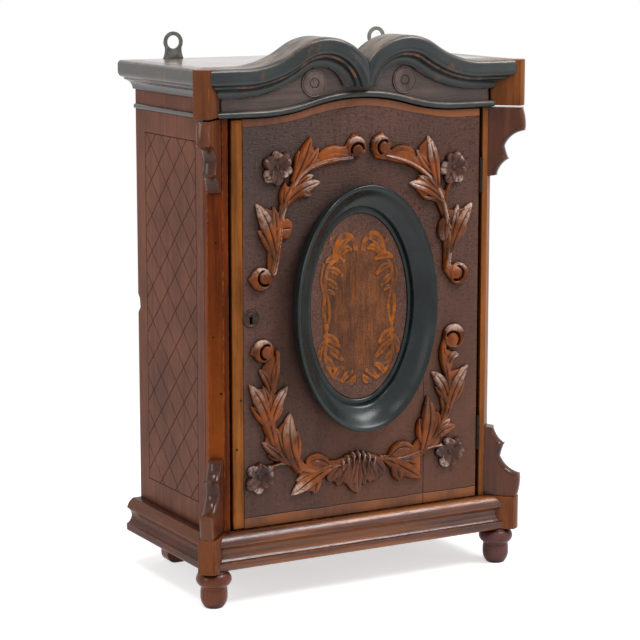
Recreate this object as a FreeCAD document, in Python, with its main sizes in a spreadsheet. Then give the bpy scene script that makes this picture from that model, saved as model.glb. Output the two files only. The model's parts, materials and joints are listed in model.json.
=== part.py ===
import FreeCAD, Part
import math
import os
import Sketcher
from types import SimpleNamespace

# Carved hanging wall cabinet with one door. Lengths are in millimetres.
# X is to the right, Z is up and the front faces -Y. Every piece is drawn from the back plane of the
# case, where a depth is the distance forward from that plane, and is then set half the overall depth back.

SIZES = {
    "case_width": (380, "across the outer faces of the side panels"),
    "case_depth": (200, "from the back plane to the front of the posts"),
    "frame_thickness": (22, "depth of the posts, the frieze and the front base rail"),
    "cant_leg": (13, "run of the canted corner along each face"),
    "stile_width": (7, "front face of a post beside the door opening"),
    "side_thickness": (15, "side panel"),
    "back_thickness": (10, "back boards"),
    "top_thickness": (12, "top board"),
    "bottom_thickness": (16, "bottom board"),
    "rail_depth": (19, "rear base rail and rear feet, front to back"),
    "foot_height": (44.2, "floor to the underside of the base"),
    "base_height": (40.3, "base moulding, blocks and front rail"),
    "case_height": (530.5, "top of the base to the flat top of the cornice"),
    "cornice_height": (34.2, "height of the cornice moulding"),
    "cornice_nose": (22.8, "projection of the cornice at its round nose"),
    "cornice_step": (14.8, "projection of the cornice under the nose"),
    "cornice_fillet": (10.2, "projection of the cornice at the top of the cove"),
    "cornice_foot": (4, "projection of the cornice at its lower edge"),
    "arch_rise": (32, "rise of the two arches above the flat top"),
    "arch_offset": (54, "centre of each arch from the middle"),
    "arch_radius": (67, "top edge of each arch"),
    "sweep_radius": (117, "hollow between an arch and the flat top"),
    "valley_drop": (25, "flat top of the cornice down to its cut lower edge between the arches"),
    "bead_drop": (52.4, "flat top of the cornice down to the middle of the bead"),
    "bead_height": (7.5, "front bead"),
    "bead_reach": (5.6, "projection of the front bead"),
    "bead_rise": (18, "rise of the front bead at the middle"),
    "bead_run": (130, "middle to the end of the rise"),
    "side_bead_height": (6, "side bead"),
    "side_bead_drop": (54.5, "flat top of the cornice down to the middle of a side bead"),
    "rosette_radius": (16.2, "frieze rosette"),
    "rosette_reach": (2.6, "projection of a rosette"),
    "rosette_offset": (60, "rosette from the middle"),
    "rosette_drop": (20.3, "flat top of the cornice down to a rosette"),
    "cornice_block_height": (54.5, "diagonal block on the cornice corner"),
    "cornice_block_thickness": (20, "across that block"),
    "cornice_block_shift": (2.3, "that block toward the side of the case"),
    "block_reach": (37.5, "canted face to the corner of a block nose"),
    "block_nose": (3.8, "bulge of a block nose"),
    "base_block_thickness": (23, "across a base block"),
    "bracket_thickness": (16, "across a bracket"),
    "bracket_reach": (43.8, "canted face to the nose of a bracket"),
    "bracket_lip": (3.8, "nose of a bracket beyond its end"),
    "bracket_waist": (18.7, "canted face to the waist of a bracket"),
    "bracket_cusp": (23.8, "canted face to the cusp of a bracket"),
    "bracket_tip": (9.5, "canted face to the tip of a bracket"),
    "bracket_gap": (2, "cornice block down to the upper bracket"),
    "bracket_height": (82.5, "upper bracket"),
    "lower_bracket_height": (86, "lower bracket"),
    "base_top_reach": (10.5, "projection of the base moulding at its top"),
    "base_nose_reach": (18.6, "projection of the base moulding at its upper edge"),
    "base_cove_reach": (12.8, "projection of the base moulding in its cove"),
    "base_foot_reach": (19.6, "projection of the base moulding at its lower fillet"),
    "foot_offset": (14.2, "canted face to the axis of a front foot"),
    "foot_collar_radius": (20.8, "front foot at its collar"),
    "foot_body_radius": (15.8, "front foot at its body"),
    "foot_pad_radius": (10.5, "front foot on the floor"),
    "foot_spigot_radius": (7, "spigot of a front foot"),
    "foot_spigot_length": (18, "spigot of a front foot"),
    "spigot_clearance": (0.15, "round a spigot, and above it"),
    "rear_foot_width": (22, "rear foot"),
    "rear_foot_inset": (26, "side of the case to a rear foot"),
    "hanger_inset": (49.6, "side of the case to the middle of a hanger"),
    "hanger_ring_radius": (12.5, "hanger ring, outside"),
    "hanger_eye_radius": (7.8, "hanger ring, hole"),
    "hanger_rise": (19.3, "flat top up to the centre of a ring"),
    "hanger_width": (26.6, "hanger plate"),
    "hanger_drop": (30, "flat top down to the end of a plate"),
    "hanger_thickness": (2, "hanger plate"),
    "hanger_neck_inset": (1.75, "side of a hanger ring in to the neck under it"),
    "shelf_share": (0.4637, "underside of the shelf, as a share of the case height"),
    "shelf_thickness": (12, "shelf"),
    "shelf_setback": (16, "back of the posts to the front of the shelf"),
    "shelf_clearance": (0.4, "shelf to each side panel"),
    "cleat_size": (12, "shelf cleat, height and thickness"),
    "door_thickness": (18, "door boards"),
    "lock_gap": (4, "door to the left post"),
    "hinge_gap": (5, "door to the right post"),
    "bottom_gap": (1, "under the door"),
    "top_gap": (1.5, "over the door"),
    "strip_width": (14.5, "edge strip of the door"),
    "joint_offset": (90, "middle to the joint of the door boards"),
    "batten_height": (30, "door batten"),
    "batten_thickness": (9, "door batten"),
    "batten_inset": (34, "door bottom or top to a batten"),
    "batten_left_inset": (56, "left edge of the door to the battens"),
    "batten_right_inset": (15, "right edge of the door to the battens"),
    "oval_level_share": (0.5245, "centre of the oval, as a share of the door height"),
    "oval_width_share": (0.2819, "half the oval frame, as a share of the door width"),
    "oval_height_share": (0.3049, "half the oval frame, as a share of the door height"),
    "oval_end_share": (0.77, "end radius of the oval frame, as a share of its half width"),
    "oval_frame_width": (29, "across the oval frame"),
    "oval_frame_reach": (25, "projection of the oval frame"),
    "oval_quirk_reach": (5.5, "projection of the oval frame at its inner groove"),
    "oval_lip_width": (7.5, "inner roll of the oval frame"),
    "oval_panel_thickness": (2, "oval panel"),
    "oval_clearance": (0.4, "oval panel to its frame"),
    "spray_reach": (8, "projection of the carved sprays"),
    "carving_margin": (12.5, "carved sprays to the upright edges of the door"),
    "carving_foot": (23.5, "carved ornament above the lower edge of the door"),
    "carving_head": (21.35, "carved sprays below the upper end of the door's edge strip"),
    "palmette_reach": (9, "projection of the carved palmette"),
    "flower_reach": (9, "projection of the carved flowers"),
    "flower_share": (0.0423, "flower middle to the meeting of two petals, as a share of the door width"),
    "escutcheon_radius": (10.5, "escutcheon"),
    "escutcheon_reach": (1.6, "projection of the escutcheon"),
    "key_inset": (24, "left edge of the door to the keyhole"),
    "key_share": (0.5192, "keyhole, as a share of the door height"),
    "keyhole_radius": (2.4, "round part of the keyhole"),
    "keyhole_length": (6.5, "slot of the keyhole"),
    "lock_width": (44, "lock case"),
    "lock_height": (48, "lock case"),
    "lock_depth": (8.5, "lock case without its cover"),
    "lock_wall": (1.5, "walls and cover of the lock"),
    "lock_flange": (9, "lock cover above and below the case"),
    "lock_rise": (6, "keyhole up to the middle of the lock"),
    "bolt_height": (12, "lock bolt"),
    "bolt_thickness": (4, "lock bolt"),
    "bolt_length": (32, "lock bolt"),
    "bolt_rise": (14, "keyhole up to the middle of the bolt"),
    "bolt_inset": (0.5, "door edge to the end of the drawn-in bolt"),
    "bolt_clearance": (0.25, "round the bolt in its slots"),
    "bolt_mortise": (10, "depth of the mortise in the post"),
    "strike_height": (38, "strike plate"),
    "strike_thickness": (1.2, "strike plate"),
    "strike_side": (4.5, "slot of the strike plate to its long edges"),
    "stop_height": (150, "door stop"),
    "stop_inset": (24, "door stop under the top of the opening"),
    "stop_lap": (6, "door stop behind the door"),
    "stop_clearance": (0.3, "door stop to the door"),
    "stop_depth": (12, "door stop, front to back"),
    "hinge_height": (42, "butt hinge"),
    "hinge_inset": (58, "bottom or top of the door to a hinge"),
    "hinge_leaf": (1.5, "thickness of a hinge leaf"),
    "hinge_leaf_depth": (13, "hinge leaf, front to back"),
    "hinge_relief": (3, "front of the door back to the plain part of a leaf"),
    "hinge_knuckle_radius": (2.2, "hinge knuckle"),
    "hinge_pin_radius": (1.1, "hinge pin"),
    "hinge_clearance": (0.05, "hinge pin in a knuckle"),
    "hinge_slip": (0.3, "between two knuckles"),
    "hinge_screw_inset": (8, "end of a leaf to its screw"),
    "screw_head_radius": (2.8, "screw head"),
    "screw_head_height": (1.1, "screw head"),
    "screw_radius": (1.5, "screw shank"),
    "screw_length": (9.5, "screw with its head"),
    "screw_clearance": (0.15, "round a screw in a plate"),
    "batten_screw_length": (18, "batten screw with its head"),
}

FRONT = "XZ_Plane"
PLAN = "XY_Plane"
SIDE = "YZ_Plane"
LEFT = -1
RIGHT = 1
ROOT_HALF = math.sqrt(0.5)
ROOT_TWO = math.sqrt(2)
NEARLY_ROUND = 1.04


class Size:
    """A length and the expression that gives it from the sheet."""

    def __init__(self, value, text):
        self.value = float(value)
        self.text = text

    def __add__(self, other):
        return Size(self.value + value_of(other), f"({self.text} + {text_of(other)})")

    def __radd__(self, other):
        return Size(value_of(other) + self.value, f"({text_of(other)} + {self.text})")

    def __sub__(self, other):
        return Size(self.value - value_of(other), f"({self.text} - {text_of(other)})")

    def __rsub__(self, other):
        return Size(value_of(other) - self.value, f"({text_of(other)} - {self.text})")

    def __mul__(self, other):
        return Size(self.value * value_of(other), f"({self.text} * {text_of(other)})")

    __rmul__ = __mul__

    def __truediv__(self, other):
        return Size(self.value / value_of(other), f"({self.text} / {text_of(other)})")

    def __neg__(self):
        return Size(-self.value, f"(-1 * {self.text})")

    def root(self):
        return Size(math.sqrt(self.value), f"sqrt({self.text})")


def value_of(length):
    return length.value if isinstance(length, Size) else float(length)


def text_of(length):
    return length.text if isinstance(length, Size) else f"({float(length):.9g})"


doc = FreeCAD.newDocument("hanging_cabinet")
sheet = doc.addObject("Spreadsheet::Sheet", "Sizes")
for row, (alias, (number, note)) in enumerate(SIZES.items(), start=1):
    sheet.set(f"A{row}", note)
    sheet.set(f"B{row}", str(number))
    sheet.setAlias(f"B{row}", alias)
doc.recompute()
S = SimpleNamespace(**{alias: Size(entry[0], "Sizes." + alias) for alias, entry in SIZES.items()})
nodes = {}


def bind(thing, path, length):
    """Set a property from the sheet, or leave it as a plain number."""
    if isinstance(length, Size):
        thing.setExpression(path, length.text)


def place(thing, spot, axis=(0, 0, 1), angle=0):
    """Put a piece at (x, depth, z), turned about an axis through that point."""
    base = (spot[0], BACK - spot[1], spot[2])
    rotation = FreeCAD.Rotation(FreeCAD.Vector(*axis), angle)
    thing.Placement = FreeCAD.Placement(FreeCAD.Vector(*map(value_of, base)), rotation)
    for name, length in zip("xyz", base):
        bind(thing, "Placement.Base." + name, length)


def new_body(label, spot=(0, 0, 0), axis=(0, 0, 1), angle=0):
    body = doc.addObject("PartDesign::Body", label)
    body.Label = label
    place(body, spot, axis, angle)
    nodes[label] = body
    return body


def new_sketch(body, plane, offset=0):
    support = [feature for feature in body.Origin.OriginFeatures if feature.Role == plane]
    sketch = body.newObject("Sketcher::SketchObject", body.Label + "_sketch")
    sketch.AttachmentSupport = (support[0], [""])
    sketch.MapMode = "FlatFace"
    lift = FreeCAD.Vector(0, 0, value_of(offset))
    sketch.AttachmentOffset = FreeCAD.Placement(lift, FreeCAD.Rotation())
    bind(sketch, "AttachmentOffset.Base.z", offset)
    return sketch


def arc_between(start, stop, radius):
    """Shorter arc, with its centre on the left of the way from start to stop when radius is positive."""
    across = (stop[0] - start[0], stop[1] - start[1])
    chord = math.hypot(*across)
    height = math.sqrt(max(radius * radius - chord * chord / 4, 0))
    side = math.copysign(height, radius) / chord
    centre = ((start[0] + stop[0]) / 2 - across[1] * side, (start[1] + stop[1]) / 2 + across[0] * side)
    ends = (start, stop) if radius > 0 else (stop, start)
    first, last = [math.atan2(end[1] - centre[1], end[0] - centre[0]) for end in ends]
    if last < first:
        last += 2 * math.pi
    circle = Part.Circle(FreeCAD.Vector(*centre, 0), FreeCAD.Vector(0, 0, 1), abs(radius))
    return Part.ArcOfCircle(circle, first, last)


def fix(sketch, rules):
    """Add constraints and bind those that follow the sheet."""
    first = sketch.ConstraintCount
    sketch.addConstraint([Sketcher.Constraint(*rule[:-1], value_of(rule[-1])) for rule in rules])
    for index, rule in enumerate(rules, start=first):
        bind(sketch, f"Constraints[{index}]", rule[-1])


def draw(sketch, outline, closed=True):
    """Draw points (x, y) or (x, y, radius), where the radius is of the arc that arrives at that point."""
    first = sketch.GeometryCount
    spots = [(value_of(point[0]), value_of(point[1])) for point in outline]
    count = len(outline) if closed else len(outline) - 1
    joins = []
    rules = []
    for index in range(count):
        after = (index + 1) % len(outline)
        edge = first + index
        if len(outline[after]) == 3:
            radius = outline[after][2]
            sketch.addGeometry(arc_between(spots[index], spots[after], value_of(radius)), False)
            forward = value_of(radius) > 0
            joins.append((1, 2) if forward else (2, 1))
            rules.append(("Radius", edge, radius if forward else -radius))
        else:
            ends = [FreeCAD.Vector(*spots[index], 0), FreeCAD.Vector(*spots[after], 0)]
            sketch.addGeometry(Part.LineSegment(*ends), False)
            joins.append((1, 2))
        rules.append(("DistanceX", edge, joins[index][0], outline[index][0]))
        rules.append(("DistanceY", edge, joins[index][0], outline[index][1]))
    if not closed:
        rules.append(("DistanceX", first + count - 1, joins[-1][1], outline[-1][0]))
        rules.append(("DistanceY", first + count - 1, joins[-1][1], outline[-1][1]))
    meets = []
    for index in range(0 if closed else 1, count):
        before = (index - 1) % count
        ends = (first + before, joins[before][1], first + index, joins[index][0])
        meets.append(Sketcher.Constraint("Coincident", *ends))
    sketch.addConstraint(meets)
    fix(sketch, rules)


def ring(sketch, x, y, radius):
    edge = sketch.GeometryCount
    centre = FreeCAD.Vector(value_of(x), value_of(y), 0)
    sketch.addGeometry(Part.Circle(centre, FreeCAD.Vector(0, 0, 1), value_of(radius)), False)
    fix(sketch, [("DistanceX", edge, 3, x), ("DistanceY", edge, 3, y), ("Radius", edge, radius)])


def block(left, bottom, right, top):
    return [(left, bottom), (right, bottom), (right, top), (left, top)]


def mirror(outline):
    return [(-point[0], point[1], *[-radius for radius in point[2:]]) for point in outline]


def sketch_of(body, plane, start, outlines):
    sketch = new_sketch(body, plane, start)
    for outline in outlines:
        if isinstance(outline, tuple):
            ring(sketch, *outline)
        else:
            draw(sketch, outline)
    return sketch


def feature(body, kind, sketch, length):
    step = body.newObject("PartDesign::" + kind, body.Label + "_" + kind.lower())
    step.Profile = sketch
    step.Length = value_of(length)
    bind(step, "Length", length)
    return step


def pad(body, plane, start, length, *outlines):
    """Raise outlines, or circles given as (x, y, radius), from a plane along its normal."""
    feature(body, "Pad", sketch_of(body, plane, start, outlines), length)
    return body


def cut(body, plane, start, length, *outlines):
    """Sink outlines along the normal of a plane."""
    step = feature(body, "Pocket", sketch_of(body, plane, start, outlines), length)
    step.Reversed = True
    return body


def turned(body, profile):
    """Turn a profile of (radius, height) about the local Z axis."""
    sketch = sketch_of(body, FRONT, 0, [profile])
    step = body.newObject("PartDesign::Revolution", body.Label + "_turning")
    step.Profile = sketch
    step.ReferenceAxis = (sketch, ["V_Axis"])
    step.Angle = 360
    return body


def swept(body, profile, profile_plane, profile_start, path, path_start, closed=False):
    """Run a moulding profile along a path that is drawn on the front plane."""
    spine = new_sketch(body, FRONT, path_start)
    draw(spine, path, closed)
    section = sketch_of(body, profile_plane, profile_start, [profile])
    step = body.newObject("PartDesign::AdditivePipe", body.Label + "_run")
    step.Profile = section
    step.Spine = spine
    return body


def box_piece(label, left, right, rear, front, bottom, top):
    box = doc.addObject("Part::Box", label)
    box.Label = label
    for path, length in (("Length", right - left), ("Width", front - rear), ("Height", top - bottom)):
        setattr(box, path, value_of(length))
        bind(box, path, length)
    place(box, (left, front, bottom))
    nodes[label] = box
    return box


def group(label, members):
    """Several like pieces that make one node."""
    joined = doc.addObject("Part::Compound", label)
    joined.Label = label
    joined.Links = members
    for member in members:
        nodes.pop(member.Label)
    nodes[label] = joined


def screw(label, spot, axis, angle, length):
    """Cheese-head screw whose head top lies at the spot and whose point is along the turned Z axis."""
    shapes = []
    parts = (("head", S.screw_head_radius, S.screw_head_height), ("shank", S.screw_radius, length))
    for name, radius, height in parts:
        rod = doc.addObject("Part::Cylinder", f"{label}_{name}")
        bind(rod, "Radius", radius)
        bind(rod, "Height", height)
        place(rod, spot, axis, angle)
        shapes.append(rod)
    whole = doc.addObject("Part::Fuse", label)
    whole.Label = label
    whole.Base, whole.Tool = shapes
    nodes[label] = whole
    return whole


def screw_seat(body, plane, surface, inward, x, y, thickness):
    """Counterbore and hole for a screw, entered at a surface along the plane's normal or against it."""
    sink = S.screw_head_height
    start = surface if inward > 0 else surface - sink
    cut(body, plane, start, sink, (x, y, S.screw_head_radius + S.screw_clearance))
    hole = surface if inward > 0 else surface - thickness
    cut(body, plane, hole, thickness, (x, y, S.screw_radius + S.screw_clearance))


FORWARD = ((1, 0, 0), 90)
LEFTWARD = ((0, 1, 0), -90)
RIGHTWARD = ((0, 1, 0), 90)

# Levels and lines that several pieces share.
half = S.case_width / 2
front = S.case_depth
frame_back = front - S.frame_thickness
inner = half - S.side_thickness
opening = half - S.cant_leg - S.stile_width
base_bottom = S.foot_height
base_top = base_bottom + S.base_height
cornice_top = base_top + S.case_height
cornice_bottom = cornice_top - S.cornice_height
panel_top = cornice_top - S.top_thickness
floor_bottom = base_top - S.bottom_thickness
bead_level = cornice_top - S.bead_drop
frieze_bottom = bead_level - S.bead_height / 2
corner_x = half - S.cant_leg / 2
corner_depth = front - S.cant_leg / 2
nose_side = (S.bracket_reach + S.bracket_thickness / 2) * ROOT_HALF
BACK = (corner_depth + nose_side) / 2

door_left = S.lock_gap - opening
door_right = opening - S.hinge_gap
door_back = front - S.door_thickness
door_bottom = base_top + S.bottom_gap
door_top = frieze_bottom - S.top_gap
strip_right = door_left + S.strip_width
hinge_x = opening - S.hinge_gap / 2
key_x = door_left + S.key_inset
door_height = door_top - door_bottom
door_width = door_right - door_left
key_level = door_bottom + door_height * S.key_share

# Side panels. The left one has a worn notch in its back edge.
chip = key_level - 18
plain = [(-frame_back, base_bottom), (0, base_bottom)]
top_edge = [(0, panel_top), (-frame_back, panel_top)]
notch = [(0, chip), (-6, chip + 7), (-4.5, chip + 18), (0, chip + 23)]
pad(new_body("left_side_panel"), SIDE, -half, S.side_thickness, plain + notch + top_edge)
pad(new_body("right_side_panel"), SIDE, inner, S.side_thickness, plain + top_edge)

# Hanger plates let in flush with the back, their rings standing above the flat top.
hanger_x = half - S.hanger_inset
plate_half = S.hanger_width / 2
plate_low = cornice_top - S.hanger_drop
ring_level = cornice_top + S.hanger_rise
neck_half = S.hanger_ring_radius - S.hanger_neck_inset
ring_join = ring_level - (S.hanger_ring_radius * S.hanger_ring_radius - neck_half * neck_half).root()
screw_levels = (cornice_top - S.top_thickness / 2, plate_low + S.hanger_width / 4)
screws = []
for name, hand in (("left", LEFT), ("right", RIGHT)):
    middle = hanger_x * hand
    plate = new_body(name + "_hanger", (middle, 0, 0))
    outline = [
        (-plate_half, plate_low),
        (plate_half, plate_low),
        (plate_half, cornice_top),
        (neck_half, ring_join, -S.hanger_width),
        (0, ring_level + S.hanger_ring_radius, S.hanger_ring_radius),
        (-neck_half, ring_join, S.hanger_ring_radius),
        (-plate_half, cornice_top, -S.hanger_width),
    ]
    pad(plate, FRONT, 0, S.hanger_thickness, outline)
    cut(plate, FRONT, 0, S.hanger_thickness, (0, ring_level, S.hanger_eye_radius))
    for number, level in enumerate(screw_levels, start=1):
        screw_seat(plate, FRONT, 0, 1, 0, level, S.hanger_thickness)
        screws.append(screw(f"{name}_hanger_screw_{number}", (middle, 0, level), *FORWARD, S.screw_length))
group("hanger_screws", screws)


def hanger_recesses(body):
    for hand in (LEFT, RIGHT):
        middle = hanger_x * hand
        recess = block(middle - plate_half, plate_low, middle + plate_half, cornice_top)
        cut(body, FRONT, 0, S.hanger_thickness, recess)


# Back of three upright boards, top and bottom board.
third = inner * 2 / 3
boards = []
for index, name in enumerate(("left", "middle", "right")):
    board = new_body(f"back_board_{name}")
    left = third * index - inner
    pad(board, FRONT, 0, S.back_thickness, block(left, floor_bottom, left + third, panel_top))
    if name != "middle":
        middle = hanger_x if name == "right" else -hanger_x
        recess = block(middle - plate_half, plate_low, middle + plate_half, panel_top)
        cut(board, FRONT, 0, S.hanger_thickness, recess)
    boards.append(board)
group("back_boards", boards)
top_board = new_body("top_board")
pad(top_board, PLAN, panel_top, S.top_thickness, block(-half, -frame_back, half, 0))
hanger_recesses(top_board)
box_piece("bottom_board", -inner, inner, S.back_thickness, frame_back, floor_bottom, base_top)
box_piece("rear_base_rail", -inner, inner, 0 * S.rail_depth, S.rail_depth, base_bottom, floor_bottom)

# Corner posts with a canted outer face. The left one takes the strike plate and the bolt.
bolt_level = key_level + S.bolt_rise
bolt_rear = door_back + S.lock_wall + (S.lock_depth - S.lock_wall - S.bolt_thickness) / 2
slot = block(
    -(bolt_rear + S.bolt_thickness + S.bolt_clearance),
    bolt_level - S.bolt_height / 2 - S.bolt_clearance,
    -(bolt_rear - S.bolt_clearance),
    bolt_level + S.bolt_height / 2 + S.bolt_clearance,
)
strike = block(
    slot[0][0] - S.strike_side,
    bolt_level - S.strike_height / 2,
    slot[1][0] + S.strike_side,
    bolt_level + S.strike_height / 2,
)
post_plan = [
    (half, -frame_back),
    (half, S.cant_leg - front),
    (half - S.cant_leg, -front),
    (opening, -front),
    (opening, -frame_back),
]
left_post = new_body("left_post")
pad(left_post, PLAN, base_bottom, frieze_bottom - base_bottom, mirror(post_plan))
cut(left_post, SIDE, -opening - S.strike_thickness, S.strike_thickness, strike)
cut(left_post, SIDE, -opening - S.bolt_mortise, S.bolt_mortise, slot)
pad(new_body("right_post"), PLAN, base_bottom, frieze_bottom - base_bottom, post_plan)
strike_plate = new_body("strike_plate")
pad(strike_plate, SIDE, -opening - S.strike_thickness, S.strike_thickness, strike)
cut(strike_plate, SIDE, -opening - S.strike_thickness, S.strike_thickness, slot)
strike_screws = []
strike_middle = bolt_rear + S.bolt_thickness / 2
for number, sign in enumerate((-1, 1), start=1):
    level = bolt_level + (S.strike_height / 2 - 5.5) * sign
    screw_seat(strike_plate, SIDE, -opening, -1, -strike_middle, level, S.strike_thickness)
    spot = (-opening, strike_middle, level)
    strike_screws.append(screw(f"strike_screw_{number}", spot, *LEFTWARD, S.screw_length))

# Butt hinges in the gap between the door and the right post, their knuckles at the front.
leaf_front = front - S.hinge_relief
leaf_rear = leaf_front - S.hinge_leaf_depth
leaf_middle = (leaf_front + leaf_rear) / 2
knuckle = (hinge_x, -front, S.hinge_knuckle_radius)
eye = (hinge_x, -front, S.hinge_pin_radius + S.hinge_clearance)


def hinge_leaf(label, start, bottom, spans):
    """Leaf with its knuckles at the given spans of height."""
    body = new_body(label)
    plate = block(-leaf_front, bottom, -leaf_rear, bottom + S.hinge_height)
    pad(body, SIDE, start, S.hinge_leaf, plate)
    for low, high in spans:
        pad(body, SIDE, start, S.hinge_leaf, block(-front, low, -leaf_front, high))
        pad(body, PLAN, low, high - low, knuckle)
    cut(body, PLAN, bottom, S.hinge_height, eye)
    return body


post_leaves = []
door_leaves = []
pins = []
case_screws = []
door_screws = []
for name, bottom in (
    ("lower", door_bottom + S.hinge_inset),
    ("upper", door_top - S.hinge_inset - S.hinge_height),
):
    top = bottom + S.hinge_height
    share = S.hinge_height / 3
    outer = [(bottom, bottom + share), (top - share, top)]
    inside = [(bottom + share + S.hinge_slip, top - share - S.hinge_slip)]
    post_leaf = hinge_leaf(name + "_post_leaf", opening - S.hinge_leaf, bottom, outer)
    door_leaf = hinge_leaf(name + "_door_leaf", door_right, bottom, inside)
    for number, level in enumerate((bottom + S.hinge_screw_inset, top - S.hinge_screw_inset), start=1):
        screw_seat(post_leaf, SIDE, opening - S.hinge_leaf, 1, -leaf_middle, level, S.hinge_leaf)
        screw_seat(door_leaf, SIDE, door_right + S.hinge_leaf, -1, -leaf_middle, level, S.hinge_leaf)
        spot = (opening - S.hinge_leaf, leaf_middle, level)
        case_screws.append(screw(f"{name}_post_leaf_screw_{number}", spot, *RIGHTWARD, S.screw_length))
        spot = (door_right + S.hinge_leaf, leaf_middle, level)
        door_screws.append(screw(f"{name}_door_leaf_screw_{number}", spot, *LEFTWARD, S.screw_length))
    pin = doc.addObject("Part::Cylinder", name + "_hinge_pin")
    pin.Label = name + "_hinge_pin"
    bind(pin, "Radius", S.hinge_pin_radius)
    bind(pin, "Height", S.hinge_height)
    place(pin, (hinge_x, front, bottom))
    nodes[pin.Label] = pin
    pins.append(pin)
    post_leaves.append(post_leaf)
    door_leaves.append(door_leaf)
group("post_hinge_leaves", post_leaves)
group("door_hinge_leaves", door_leaves)
group("hinge_pins", pins)
group("case_screws", case_screws + strike_screws)

# Front base rail, and the frieze with its arched top and serpentine lower edge.
box_piece("front_base_rail", -opening, opening, frame_back, front, base_bottom, base_top)

bead_radius = (S.bead_run * S.bead_run + S.bead_rise * S.bead_rise) / (S.bead_rise * 4)


def serpentine(level):
    """Lower edge of the frieze from left to right, at a level."""
    knee = (S.bead_run / 2, level + S.bead_rise / 2)
    return [
        (-S.bead_run, level),
        (-knee[0], knee[1], bead_radius),
        (knee[0], knee[1], -bead_radius),
        (S.bead_run, level, bead_radius),
    ]


arch_level = cornice_top + S.arch_rise - S.arch_radius
reach = S.arch_radius + S.sweep_radius
sweep_run = (reach * reach - (reach - S.arch_rise) * (reach - S.arch_rise)).root()
sweep_x = S.arch_offset + sweep_run
arch_share = S.arch_radius / reach
knee_x = S.arch_offset + sweep_run * arch_share
knee_z = arch_level + (reach - S.arch_rise) * arch_share
valley_z = arch_level + (S.arch_radius * S.arch_radius - S.arch_offset * S.arch_offset).root()
crest = [
    (half, frieze_bottom),
    (half, cornice_top),
    (sweep_x, cornice_top),
    (knee_x, knee_z, -S.sweep_radius),
    (0, valley_z, S.arch_radius),
    (-knee_x, knee_z, S.arch_radius),
    (-sweep_x, cornice_top, -S.sweep_radius),
    (-half, cornice_top),
    (-half, frieze_bottom),
]
frieze = new_body("frieze_board")
pad(frieze, FRONT, frame_back, S.frame_thickness, serpentine(frieze_bottom) + crest)
cant = [(half, S.cant_leg - front), (half, -front), (half - S.cant_leg, -front)]
frieze_height = cornice_top - frieze_bottom
cut(frieze, PLAN, frieze_bottom, frieze_height, cant)
cut(frieze, PLAN, frieze_bottom, frieze_height, mirror(cant))

rosettes = []
for name, hand in (("left", LEFT), ("right", RIGHT)):
    spot = (S.rosette_offset * hand, front, cornice_top - S.rosette_drop)
    rosette = new_body(name + "_rosette", spot, *FORWARD)
    low = S.rosette_reach / 2
    profile = [
        (0, 0),
        (S.rosette_radius, 0),
        (S.rosette_radius, low),
        (S.rosette_radius * 0.9, S.rosette_reach),
        (S.rosette_radius * 0.6, S.rosette_reach),
        (S.rosette_radius * 0.52, low),
        (S.rosette_radius * 0.32, low),
        (0, S.rosette_reach),
    ]
    rosettes.append(turned(rosette, profile))
group("frieze_rosettes", rosettes)

# Diagonal blocks end the mouldings, so each moulding is trimmed to the face of its block.
TRIM = 40


def trim_front(body, hand, thickness, shift, bottom, height):
    """Cut the front moulding where the face of a diagonal block crosses it."""
    start = half - (thickness / 2 - shift) * ROOT_TWO
    wedge = [(start, -front), (start + TRIM, -front), (start + TRIM, -(front + TRIM))]
    cut(body, PLAN, bottom, height, wedge if hand == RIGHT else mirror(wedge))


def trim_side(body, hand, thickness, shift, bottom, height):
    """Cut a side moulding where the face of a diagonal block crosses it."""
    start = front - (thickness / 2 + shift) * ROOT_TWO
    wedge = [(half, -start), (half, -(start + TRIM)), (half + TRIM, -(start + TRIM))]
    cut(body, PLAN, bottom, height, wedge if hand == RIGHT else mirror(wedge))


block_thick = S.cornice_block_thickness
block_shift = S.cornice_block_shift
run_end = half + TRIM / 2

# Front bead along the serpentine edge.
nose = S.bead_height / 2
bead_round = nose * NEARLY_ROUND
bead_stem = front + S.bead_reach - bead_round + (bead_round * bead_round - nose * nose).root()
bead_profile = [
    (-front, bead_level - nose),
    (-front, bead_level + nose),
    (-bead_stem, bead_level + nose),
    (-bead_stem, bead_level - nose, bead_round),
]
bead_path = [(-run_end, bead_level)] + serpentine(bead_level) + [(run_end, bead_level)]
bead = swept(new_body("front_bead"), bead_profile, SIDE, -run_end, bead_path, front)
for hand in (LEFT, RIGHT):
    trim_front(bead, hand, block_thick, block_shift, frieze_bottom, S.bead_height * 2)

# Half-round bead on each side.
side_nose = S.side_bead_height / 2
side_level = cornice_top - S.side_bead_drop
side_face = half + side_nose / 4
side_profile = [
    (half, side_level - side_nose),
    (side_face, side_level - side_nose),
    (side_face, side_level + side_nose, side_nose * NEARLY_ROUND),
    (half, side_level + side_nose),
]
side_beads = []
for name, hand in (("left", LEFT), ("right", RIGHT)):
    side_bead = new_body(name + "_side_bead")
    pad(side_bead, FRONT, 0, front + TRIM / 2, side_profile if hand == RIGHT else mirror(side_profile))
    trim_side(side_bead, hand, block_thick, block_shift, side_level - side_nose, S.side_bead_height)
    side_beads.append(side_bead)
group("side_beads", side_beads)


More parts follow.
